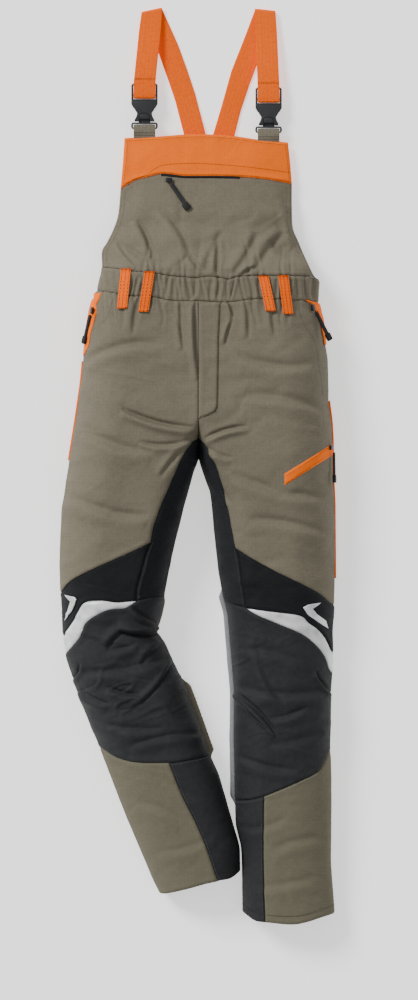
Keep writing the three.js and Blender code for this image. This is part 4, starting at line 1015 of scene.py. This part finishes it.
def overlays():
    """Placket, facings, welt and chevrons, sewn on top of the panels."""
    facing_right = [(-171, 308), (-179, 283), (-186, 247), (-197, 205), (-207, 189)]
    facing_left = [(190, 294), (203, 283), (213, 258), (219, 238), (224, 215)]
    for side, skin, line, low, high in (("right", RIGHT, facing_right, 189, 309),
                                        ("left", LEFT, facing_left, 215, 288)):
        panel(f"pocket_facing_cloth_{side}", Unrolled(skin), on(skin, line) + side_line(skin, 0, low, high),
              ORANGE, f"pocket_facing_{side}", 2.4, 1.2, roll=1.0, puff=0.2)
    welt = [(153, -14), (153, -35), (195, -8), (240, 20), (240, 41), (195, 12)]
    panel("thigh_welt_cloth", LEFT, closed(welt, 3), ORANGE, "thigh_pocket_welt",
          WELT_HEIGHT, 1.6, roll=0.7, puff=0)
    panel("fly_placket_cloth", LEFT, closed(PLACKET, 2.5), KHAKI, "fly_placket", 3.0, 1.8,
          roll=1.6, puff=0.5)
    for side, skin, outline in (("right", RIGHT, CHEVRON_RIGHT), ("left", LEFT, CHEVRON_LEFT)):
        panel(f"chevron_cloth_{side}", skin, closed(outline, 2), REFLECTIVE, f"knee_chevron_{side}",
              2.2, 1.0, roll=0, puff=0, step=2)


def back_yoke():
    ring = closed([(64, 574), (140, 337), (107, 337), (53, 332), (-7, 334), (-90, 343), (-24, 574)], 6)
    flat, distance, faces = triangulated(ring, 6)
    z = 1.6 - 0.8 * np.exp(-(distance / 3) ** 2) + 0.3 * ripple(flat[:, 0], flat[:, 1], 40, 30, 60)
    points = np.column_stack([flat, z])
    piece = mesh_object("back_yoke_cloth", points, face_out(points, faces, up), KHAKI)
    thicken(piece, 1.2)
    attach(piece, "garment")
    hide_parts("back_yoke")


# ---------------------------------------------------------------- stitching, webbing and piping

def add_stitch(verts, faces, start, end):
    """One raised stitch between two points."""
    along = end - start
    along = along / max(np.linalg.norm(along), 1e-9)
    side = np.cross(along, [0, 0, 1.0])
    side /= max(np.linalg.norm(side), 1e-9)
    lift = np.cross(side, along) * STITCH_HEIGHT
    middle = (start + end) / 2
    k = len(verts)
    verts += [start, end, middle + side * THREAD / 2, middle - side * THREAD / 2,
              start * 0.7 + end * 0.3 + lift, start * 0.3 + end * 0.7 + lift]
    faces += [(k, k + 2, k + 4), (k + 2, k + 5, k + 4), (k + 2, k + 1, k + 5), (k + 1, k + 3, k + 5),
              (k + 3, k + 4, k + 5), (k + 3, k, k + 4), (k, k + 3, k + 2), (k + 3, k + 1, k + 2)]


def add_row(verts, faces, start, end, count):
    """A straight row of stitches between two points, with gaps between them."""
    step = (end - start) / count
    for i in range(count):
        add_stitch(verts, faces, start + step * (i + 0.12), start + step * (i + 0.88))


def sewn_on(name, verts, faces, material, body):
    piece = mesh_object(name, verts, faces, material)
    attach(piece, body)


def topstitching(name, runs, material):
    """Rows of stitches along (skin, line on the unrolled skin, height above it)."""
    verts, faces = [], []
    for skin, line, height in runs:
        flat = np.array(resample(line, STITCH))
        points = skin.raised(flat, np.full(len(flat), height))
        for start, end in zip(points[:-1], points[1:]):
            add_row(verts, faces, start, end, 1)
    sewn_on(name, verts, faces, material, "garment")


def offset_line(line, distance):
    """A line moved sideways, to the left of its direction."""
    p = np.array(line)
    d = np.gradient(p, axis=0)
    d /= np.maximum(np.linalg.norm(d, axis=1, keepdims=True), 1e-9)
    return [tuple(q) for q in p + np.column_stack([-d[:, 1], d[:, 0]]) * distance]


def seam_stitches():
    khaki, black, grey = [], [], []
    for skin, seams in ((RIGHT, RIGHT_SEAMS), (LEFT, LEFT_SEAMS)):
        rows = [(khaki, "gusset", -4), (khaki, "band", -4), (black, "band", 3.5), (grey, "gusset_side", 4),
                (grey, "knee", -4), (grey, "shin", 4)]
        for group, key, gap in rows:
            group.append((skin, offset_line(on(skin, seams[key]), gap), 0.6))
        khaki.append((skin, [(x, y + 15) for x, y in on(skin, seams["hem"])], 0.6))
        khaki.append((skin, offset_line(seams["waist_line"], -4), 0.6))
    for skin, dart in (
            (RIGHT, [(-48, -347), (-92, -384), (-124, -433)]), (RIGHT, [(-222, -381), (-207, -355)]),
            (LEFT, [(61, -400), (96, -444), (139, -481)]), (LEFT, [(209, -366), (237, -408)])):
        grey.append((skin, on(skin, dart), 0.6))
    khaki.append((RIGHT, on(RIGHT, [(-4, 285), (-4, 170), (-4, 60)]), 0.6))
    khaki.append((LEFT, on(LEFT, [(177, 281), (190, 246), (206, 221), (215, 176), (221, 125)]), 0.6))
    khaki.append((RIGHT, on(RIGHT, [(-151, 301), (-155, 280), (-163, 262), (-178, 247), (-193, 237)]), 0.6))
    for inset in (3, 9):
        khaki.append((BIB, [(x + inset, y) for x, y in curved(BIB_EDGE_RIGHT)], 0))
        khaki.append((BIB, [(x - inset, y) for x, y in curved(BIB_EDGE_LEFT)], 0))
    khaki.append((LEFT, on(LEFT, [(6, 288), (6, 200), (6, 95)]), 2.9))
    khaki.append((LEFT, on(LEFT, [(37, 288), (34.5, 230), (32.5, 108), (29, 98), (17, 92), (3, 87)]), 2.9))
    orange = [(BIB, line, 2.1) for line in (
        [(x, y - 5) for x, y in curved(YOKE_TOP)], curved(YOKE_STITCH),
        [(x, y + 3) for x, y in curved(YOKE_LOW)],
        curved([(-126, 578), (-128, 540), (-133, 503)]), curved([(155, 570), (159, 540), (162, 510)]))]
    orange += [(LEFT, on(LEFT, line), WELT_HEIGHT - 0.2) for line in (
        [(157, -18), (196, 8), (232, 33)], [(157, -31), (196, -4), (232, 20)])]
    topstitching("topstitching_khaki", khaki, DARK_THREAD)
    topstitching("topstitching_black", black, BLACK_THREAD)
    topstitching("topstitching_grey", grey, GREY_THREAD)
    topstitching("topstitching_orange", orange, BROWN_THREAD)


def band_mesh(name, pairs, thickness, material, columns, step):
    """A woven band through pairs of edge points, with its length and width on a UV map."""
    left = np.array([p for p, _ in pairs], float)
    right = np.array([q for _, q in pairs], float)
    middle = (left + right) / 2
    run = np.concatenate(([0], np.cumsum(np.linalg.norm(np.diff(middle, axis=0), axis=1))))
    even = np.unique(np.concatenate([np.arange(0, run[-1], step), run]))
    left = np.column_stack([np.interp(even, run, left[:, k]) for k in range(3)])
    right = np.column_stack([np.interp(even, run, right[:, k]) for k in range(3)])
    middle = (left + right) / 2
    along = np.gradient(middle, axis=0)
    across = right - left
    width = float(np.linalg.norm(across, axis=1).mean())
    normal = np.cross(across, along)
    normal /= np.maximum(np.linalg.norm(normal, axis=1, keepdims=True), 1e-9)
    t = np.linspace(0, 1, columns + 1)
    verts, uvs = [], []
    for sign in (1, -1):
        for i in range(len(even)):
            for u in t:
                swell = BAND_SWELL * (1 - (2 * u - 1) ** 6)
                edge = min(u, 1 - u) < 1e-6
                drop = thickness / 2 * (0.45 if edge else 1.0)
                verts.append(left[i] * (1 - u) + right[i] * u + sign * normal[i] * (drop + swell))
                uvs.append((u * width * MM, even[i] * MM))
    rows, cols = len(even), columns + 1
    faces = []

    def index(face, i, j):
        return face * rows * cols + i * cols + j

    for i in range(rows - 1):
        for j in range(columns):
            faces.append((index(0, i, j), index(0, i, j + 1), index(0, i + 1, j + 1), index(0, i + 1, j)))
            faces.append((index(1, i, j), index(1, i + 1, j), index(1, i + 1, j + 1), index(1, i, j + 1)))
        for j, flip in ((0, False), (columns, True)):
            side = (index(0, i, j), index(0, i + 1, j), index(1, i + 1, j), index(1, i, j))
            faces.append(side[::-1] if flip else side)
    for i, flip in ((0, True), (rows - 1, False)):
        for j in range(columns):
            side = (index(0, i, j), index(0, i, j + 1), index(1, i, j + 1), index(1, i, j))
            faces.append(side[::-1] if flip else side)
    piece = mesh_object(name, verts, faces, material)
    layer = piece.data.uv_layers.new(name="length")
    corner_verts = np.zeros(len(piece.data.loops), int)
    piece.data.loops.foreach_get("vertex_index", corner_verts)
    layer.data.foreach_set("uv", np.array(uvs)[corner_verts].ravel())
    edit = bmesh.new()
    edit.from_mesh(piece.data)
    bmesh.ops.recalc_face_normals(edit, faces=edit.faces)
    edit.to_mesh(piece.data)
    edit.free()
    bpy.ops.object.select_all(action="DESELECT")
    piece.select_set(True)
    bpy.context.view_layer.objects.active = piece
    bpy.ops.object.shade_smooth_by_angle(angle=math.radians(50))
    return piece, float(run[-1]) * MM, width * MM


def declare_band(node):
    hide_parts(node)


def belt_loops():
    """Orange loops sewn over the waistband, standing a little off it."""
    stations = [(0, 1.8), (0.06, 1.8), (0.1, 1.8), (0.17, 4.6), (0.3, 5.6), (0.5, 5.9), (0.7, 5.6),
                (0.83, 4.6), (0.9, 1.8), (0.94, 1.8), (1, 1.8)]
    half = 9
    seams = []
    for name, top, bottom in (
            ("right_side", (-128, 350), (-135, 279)), ("right_front", (-86, 345), (-97, 273)),
            ("left_front", (116, 337), (129, 274)), ("left_side", (151, 338), (160, 269))):
        pairs = []
        for t, lift in stations:
            x = top[0] + (bottom[0] - top[0]) * t
            y = top[1] + (bottom[1] - top[1]) * t
            xs = x + np.linspace(-half, half, 7)
            ys = np.full(7, y)
            girth = np.array([WAIST.across(v, y) for v in xs])
            base = WAIST.place(girth, ys)
            high = WAIST.lift(girth, ys, 1.4)[:, 2]
            if y > 325:
                high = np.maximum(high, BIB.raised(np.column_stack([xs, ys]), 0.6)[:, 2])
            clear = max(lift, float((high - base[:, 2]).max()) + 1.2)
            pairs.append([(v[0], v[1], v[2] + clear) for v in (base[0], base[-1])])
        piece, length, width = band_mesh(f"belt_loop_{name}_webbing", pairs, 1.5, ORANGE_WEBBING, 4, 3)
        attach(piece, "garment")
        declare_band(f"belt_loop_{name}")
        seams.append(pairs)
    verts, faces = [], []
    for pairs in seams:
        line = np.array(pairs)
        run = np.linspace(0, len(pairs) - 1, 24)
        rows = [np.stack([np.interp(run, range(len(pairs)), line[:, edge, k]) for k in range(3)], -1)
                for edge in (0, 1)]
        for share in (0.14, 0.5, 0.86):
            path = rows[0] * (1 - share) + rows[1] * share + [0, 0, 1.0]
            for p, q in zip(path[:-1], path[1:]):
                add_row(verts, faces, p, q, 1)
        for k in (0, 1, 22, 23):
            add_row(verts, faces, rows[0][k] + [0, 0, 1.0], rows[1][k] + [0, 0, 1.0], 9)
    sewn_on("belt_loop_stitching", verts, faces, BROWN_THREAD, "garment")


BRACES = {
    "right": {
        "x": -95.5, "shift": 0, "crease": ((-101, 806), (-64, 814)),
        "back": [((-17, 562), (18, 567)), ((-25, 589), (12, 598)), ((-41, 651), (-5, 663)),
                 ((-55, 692), (-19, 705)), ((-70, 734), (-35, 749))],
    },
    "left": {
        "x": 125.5, "shift": -7, "crease": ((101, 812), (138, 808)),
        "back": [((20, 567), (57, 562)), ((28, 595), (65, 588)), ((42, 642), (76, 632)),
                 ((59, 703), (91, 677)), ((85, 769), (118, 750))],
    },
}


def braces():
    """Elastic webbing from the back yoke to its crease and down the front, round the socket's bar."""
    for side, brace in BRACES.items():
        p, q = brace["crease"]
        heights = (3.9, 3.9, 1.9, 1.9, 1.9)          # over the back yoke, then on the ground
        pairs = [[(*left, z), (*right, z)] for (left, right), z in zip(brace["back"], heights)]
        for out, z in ((0, 1.9), (1.2, 2.9), (1.8, 4.2), (1.9, 5.0), (1.8, 5.8), (1.2, 7.1), (0, 8.1)):
            pairs.append([(p[0], p[1] + out, z), (q[0], q[1] + out, z)])
        middle_x = (p[0] + q[0]) / 2

        def level(y, z, tilt=0.0):
            half = WEBBING_WIDTH / 2 + 0.4 * ease((690 - y) / 15)       # it spreads a little in the buckle
            y = y + brace["shift"]
            crease_y = (p[1] + q[1]) / 2
            t = min((crease_y - y) / (crease_y - SOCKET_TOP - brace["shift"]), 1)
            x = middle_x + (brace["x"] - middle_x) * t
            return [(x - half, y, z - tilt), (x + half, y, z + tilt)]

        z = BUCKLE_HEIGHT
        pairs += [level(775, 10.6, 0.5), level(745, 14, 0.8), level(715, 17.6, 0.4), level(684, z + 3.3),
                  level(663, z + 3.3), level(656.8, z + 2.7), level(654.7, z + 1.4), level(654.2, z),
                  level(654.7, z - 1.4), level(656.8, z - 2.7), level(663, z - 3.3), level(684, z - 3.3),
                  level(700, 13.2), level(719, 12.4)]
        piece, length, width = band_mesh(f"brace_{side}_elastic", pairs, 1.7, ORANGE_WEBBING, 8, 3.5)
        declare_band(f"brace_webbing_{side}")
        verts, faces = [], []
        for y in (687.5, 690):
            start, end = (np.array(corner) + [0, 0, 0.9] for corner in level(y, 20.2))
            add_row(verts, faces, start, end, 13)
        sewn_on(f"brace_{side}_tack", verts, faces, BROWN_THREAD, f"brace_{side}")
        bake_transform(piece)


def buckle_tabs():
    """Khaki webbing tabs from under the yoke round the plug's bar and back."""
    for side, brace in BRACES.items():
        edges = [brace["x"] - WEBBING_WIDTH / 2, brace["x"] + WEBBING_WIDTH / 2]

        def level(y, lift):
            return [(x, y + brace["shift"], BUCKLE_HEIGHT + lift) for x in edges]

        def sewn(y):
            y = y + brace["shift"]
            return [(x, y, float(BIB.base(np.array([x]), np.array([y]))[0]) - 1.0) for x in edges]

        pairs = [sewn(569), sewn(576), sewn(584), level(596, 2.6), level(602.8, 2.6), level(606.1, 1.9),
                 level(607.1, 0), level(606.1, -1.9), level(602.8, -2.6), level(592, -2.6), level(576, -7.6)]
        piece, length, width = band_mesh(f"buckle_tab_{side}_webbing", pairs, 1.5, KHAKI_WEBBING, 6, 3)
        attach(piece, "garment")
        declare_band(f"buckle_tab_{side}")
        verts, faces = [], []
        high, low = np.array(level(596, 2.6)), np.array(sewn(584))
        for share in (0.25, 0.625):
            start, end = high * (1 - share) + low * share + [0, 0, 1.1]
            add_row(verts, faces, start, end, 13)
        sewn_on(f"buckle_tab_{side}_stitching", verts, faces, DARK_THREAD, "garment")


def side_piping():
    """Orange cord piping in the side seams."""
    for side, skin, high, low in (("right", RIGHT, 186, 10), ("left", LEFT, 116, -200)):
        ys = np.linspace(high, low, 60)
        x = np.array([skin.place(np.array([0.0]), np.array([y]))[0][0] for y in ys]) - skin.inward * 1.6
        verts, faces, count = [], [], 10
        for i, (px, py) in enumerate(zip(x, ys)):
            for k in range(count):
                a = 2 * math.pi * k / count
                verts.append((px + 2.4 * math.cos(a), py, SEAM_HEIGHT + 2.4 * math.sin(a)))
        for i in range(len(ys) - 1):
            for k in range(count):
                n = (k + 1) % count
                faces.append((i * count + k, i * count + n, (i + 1) * count + n, (i + 1) * count + k))
        faces.append(tuple(range(count)))
        faces.append(tuple(reversed(range((len(ys) - 1) * count, len(ys) * count))))
        piece = mesh_object(f"side_piping_{side}_cord", verts, faces, ORANGE)
        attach(piece, "garment")
        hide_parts(f"side_piping_{side}")


# ---------------------------------------------------------------- hard pieces

def widened(mesh, factor):
    """Makes a long piece broader across its length, in plan."""
    points = np.zeros(len(mesh.vertices) * 3)
    mesh.vertices.foreach_get("co", points)
    points = points.reshape(-1, 3)
    middle = points.mean(axis=0)
    _, axes = np.linalg.eigh(np.cov((points - middle)[:, :2].T))
    across = np.array([axes[0, 0], axes[1, 0], 0])
    points += np.outer((points - middle) @ across, across) * (factor - 1)
    mesh.vertices.foreach_set("co", points.ravel())


def rounded_copy(node, material, radius, body, widen=1.0):
    """A copy of a hard node with its edges rounded as a mould leaves them."""
    piece = copy_of(node, f"{node}_moulded", material, widen)
    bpy.ops.object.mode_set(mode="EDIT")
    bpy.ops.mesh.select_all(action="SELECT")
    bpy.ops.mesh.dissolve_limited(angle_limit=math.radians(2))
    bpy.ops.mesh.normals_make_consistent(inside=False)
    bpy.ops.object.mode_set(mode="OBJECT")
    bevel = piece.modifiers.new("edges", "BEVEL")
    bevel.width = radius * MM
    bevel.segments = 3
    bevel.limit_method = "ANGLE"
    bevel.angle_limit = math.radians(30)
    apply_modifiers(piece)
    bpy.ops.object.shade_smooth_by_angle(angle=math.radians(40))
    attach(piece, body)
    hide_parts(node)


def hard_pieces():
    for side in ("right", "left"):
        rounded_copy(f"buckle_socket_{side}", ACETAL, 0.9, f"brace_{side}")
        rounded_copy(f"buckle_plug_{side}", ACETAL, 0.6, "garment")
        rounded_copy(f"buckle_button_{side}", ACETAL, 0.7, f"button_{side}")
    for slider, pull, node, side in (
            ("pocket_slider_right", "pocket_pull_right", "pocket_zip", "_right"),
            ("pocket_slider_left", "pocket_pull_left", "pocket_zip", "_left"),
            ("bib_slider", "bib_pull", "bib_zip", ""), ("thigh_slider", "thigh_pull", "thigh_zip", "")):
        rounded_copy(f"{node}_slider{side}", ZIP_METAL, 0.8, slider)
        rounded_copy(f"{node}_pull{side}", PULL_RUBBER, 0.6, pull, widen=1.5)
    rounded_copy("fly_zip_slider", ZIP_METAL, 0.8, "fly_slider")
    refinished("fly_zip_tape", ZIP_TAPE)
    refinished("waist_elastic", BLACK_BAND)


def refinished(node, material):
    """Gives a CAD node that keeps its shape a better material."""
    bpy.data.objects[node].data.materials.clear()
    bpy.data.objects[node].data.materials.append(material)


def copy_of(node, name, material, widen=1.0):
    """A selected copy of a CAD node, placed by its mesh, with its separate triangles merged."""
    source = bpy.data.objects[node]
    mesh = source.data.copy()
    piece = bpy.data.objects.new(name, mesh)
    bpy.context.scene.collection.objects.link(piece)
    mesh.transform(source.matrix_world)
    if widen != 1:
        widened(mesh, widen)
    mesh.materials.clear()
    mesh.materials.append(material)
    bpy.ops.object.select_all(action="DESELECT")
    piece.select_set(True)
    bpy.context.view_layer.objects.active = piece
    bpy.ops.object.mode_set(mode="EDIT")
    bpy.ops.mesh.select_all(action="SELECT")
    bpy.ops.mesh.remove_doubles(threshold=0.00002)
    bpy.ops.object.mode_set(mode="OBJECT")
    return piece


def inner_layers():
    """Cut-protection pads, seen only through the open hems."""
    for side, outer, inner in (("right", RIGHT_OUTER, RIGHT_INNER), ("left", LEFT_OUTER, LEFT_INNER)):
        piece = copy_of(f"cut_protection_pad_{side}", f"cut_protection_layers_{side}", PAD)
        remesh = piece.modifiers.new("remesh", "REMESH")
        remesh.mode = "VOXEL"
        remesh.voxel_size = 0.005
        apply_modifiers(piece)
        for v in piece.data.vertices:
            y = v.co.y / MM
            middle = float(outline_x(outer, y) + outline_x(inner, y)) / 2 * MM
            v.co.x = middle + PAD_WIDTH * (v.co.x - middle)
            quilting = 0.0006 * math.sin(v.co.x * 300) * math.sin(v.co.y * 210)
            v.co.z = PAD_HEIGHT * v.co.z - quilting
        piece.data.polygons.foreach_set("use_smooth", [True] * len(piece.data.polygons))
        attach(piece, "garment")
        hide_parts(f"cut_protection_pad_{side}")


# ---------------------------------------------------------------- stage

LENS = 400                  # a long lens, far off, so that the laid garment is seen square on
VIEW_HEIGHT = 1.78          # metres of the floor that the picture takes in


def stage():
    bpy.ops.object.select_all(action="DESELECT")
    bpy.ops.mesh.primitive_plane_add(size=90, location=(0, 0, -0.0004))
    floor = bpy.context.object
    floor.name = "floor"
    material, tree, shader = new_material("pale_matt_floor", 0.9, specular=0.1)
    shader.inputs["Base Color"].default_value = linear("#ffffff")
    shader.inputs["Emission Color"].default_value = linear("#ffffff")
    shader.inputs["Emission Strength"].default_value = 0.8      # a lit white table
    floor.data.materials.append(material)
    world = bpy.data.worlds.new("soft_studio")
    world.use_nodes = True
    world.node_tree.nodes["Background"].inputs["Color"].default_value = linear("#ffffff")
    world.node_tree.nodes["Background"].inputs["Strength"].default_value = 0.45
    bpy.context.scene.world = world
    for name, place, strength, angle in (
            ("key", (-1.0, 0.95, 0.98), 3.1, 20), ("fill", (0.6, -0.5, 2.0), 0.35, 60)):
        light = bpy.data.lights.new(name, "SUN")
        light.energy = strength
        light.angle = math.radians(angle)
        lamp = bpy.data.objects.new(name, light)
        lamp.location = place
        lamp.rotation_euler = (-Vector(place)).to_track_quat("-Z", "Y").to_euler()
        bpy.context.scene.collection.objects.link(lamp)
    lens = bpy.data.cameras.new("camera")
    lens.lens = LENS
    lens.sensor_fit = "VERTICAL"
    lens.sensor_height = 36
    lens.clip_end = 60
    camera = bpy.data.objects.new("camera", lens)
    camera.location = (0.0194, -0.0607, 0.02 + VIEW_HEIGHT * LENS / lens.sensor_height)
    bpy.context.scene.collection.objects.link(camera)
    bpy.context.scene.camera = camera


stage()
simulate_drape()
leg_panels("right", RIGHT, RIGHT_SEAMS)
leg_panels("left", LEFT, LEFT_SEAMS)
back_panels()
waist_panels()
bib_panels()
overlays()
back_yoke()
belt_loops()
braces()
buckle_tabs()
side_piping()
seam_stitches()
hard_pieces()
inner_layers()
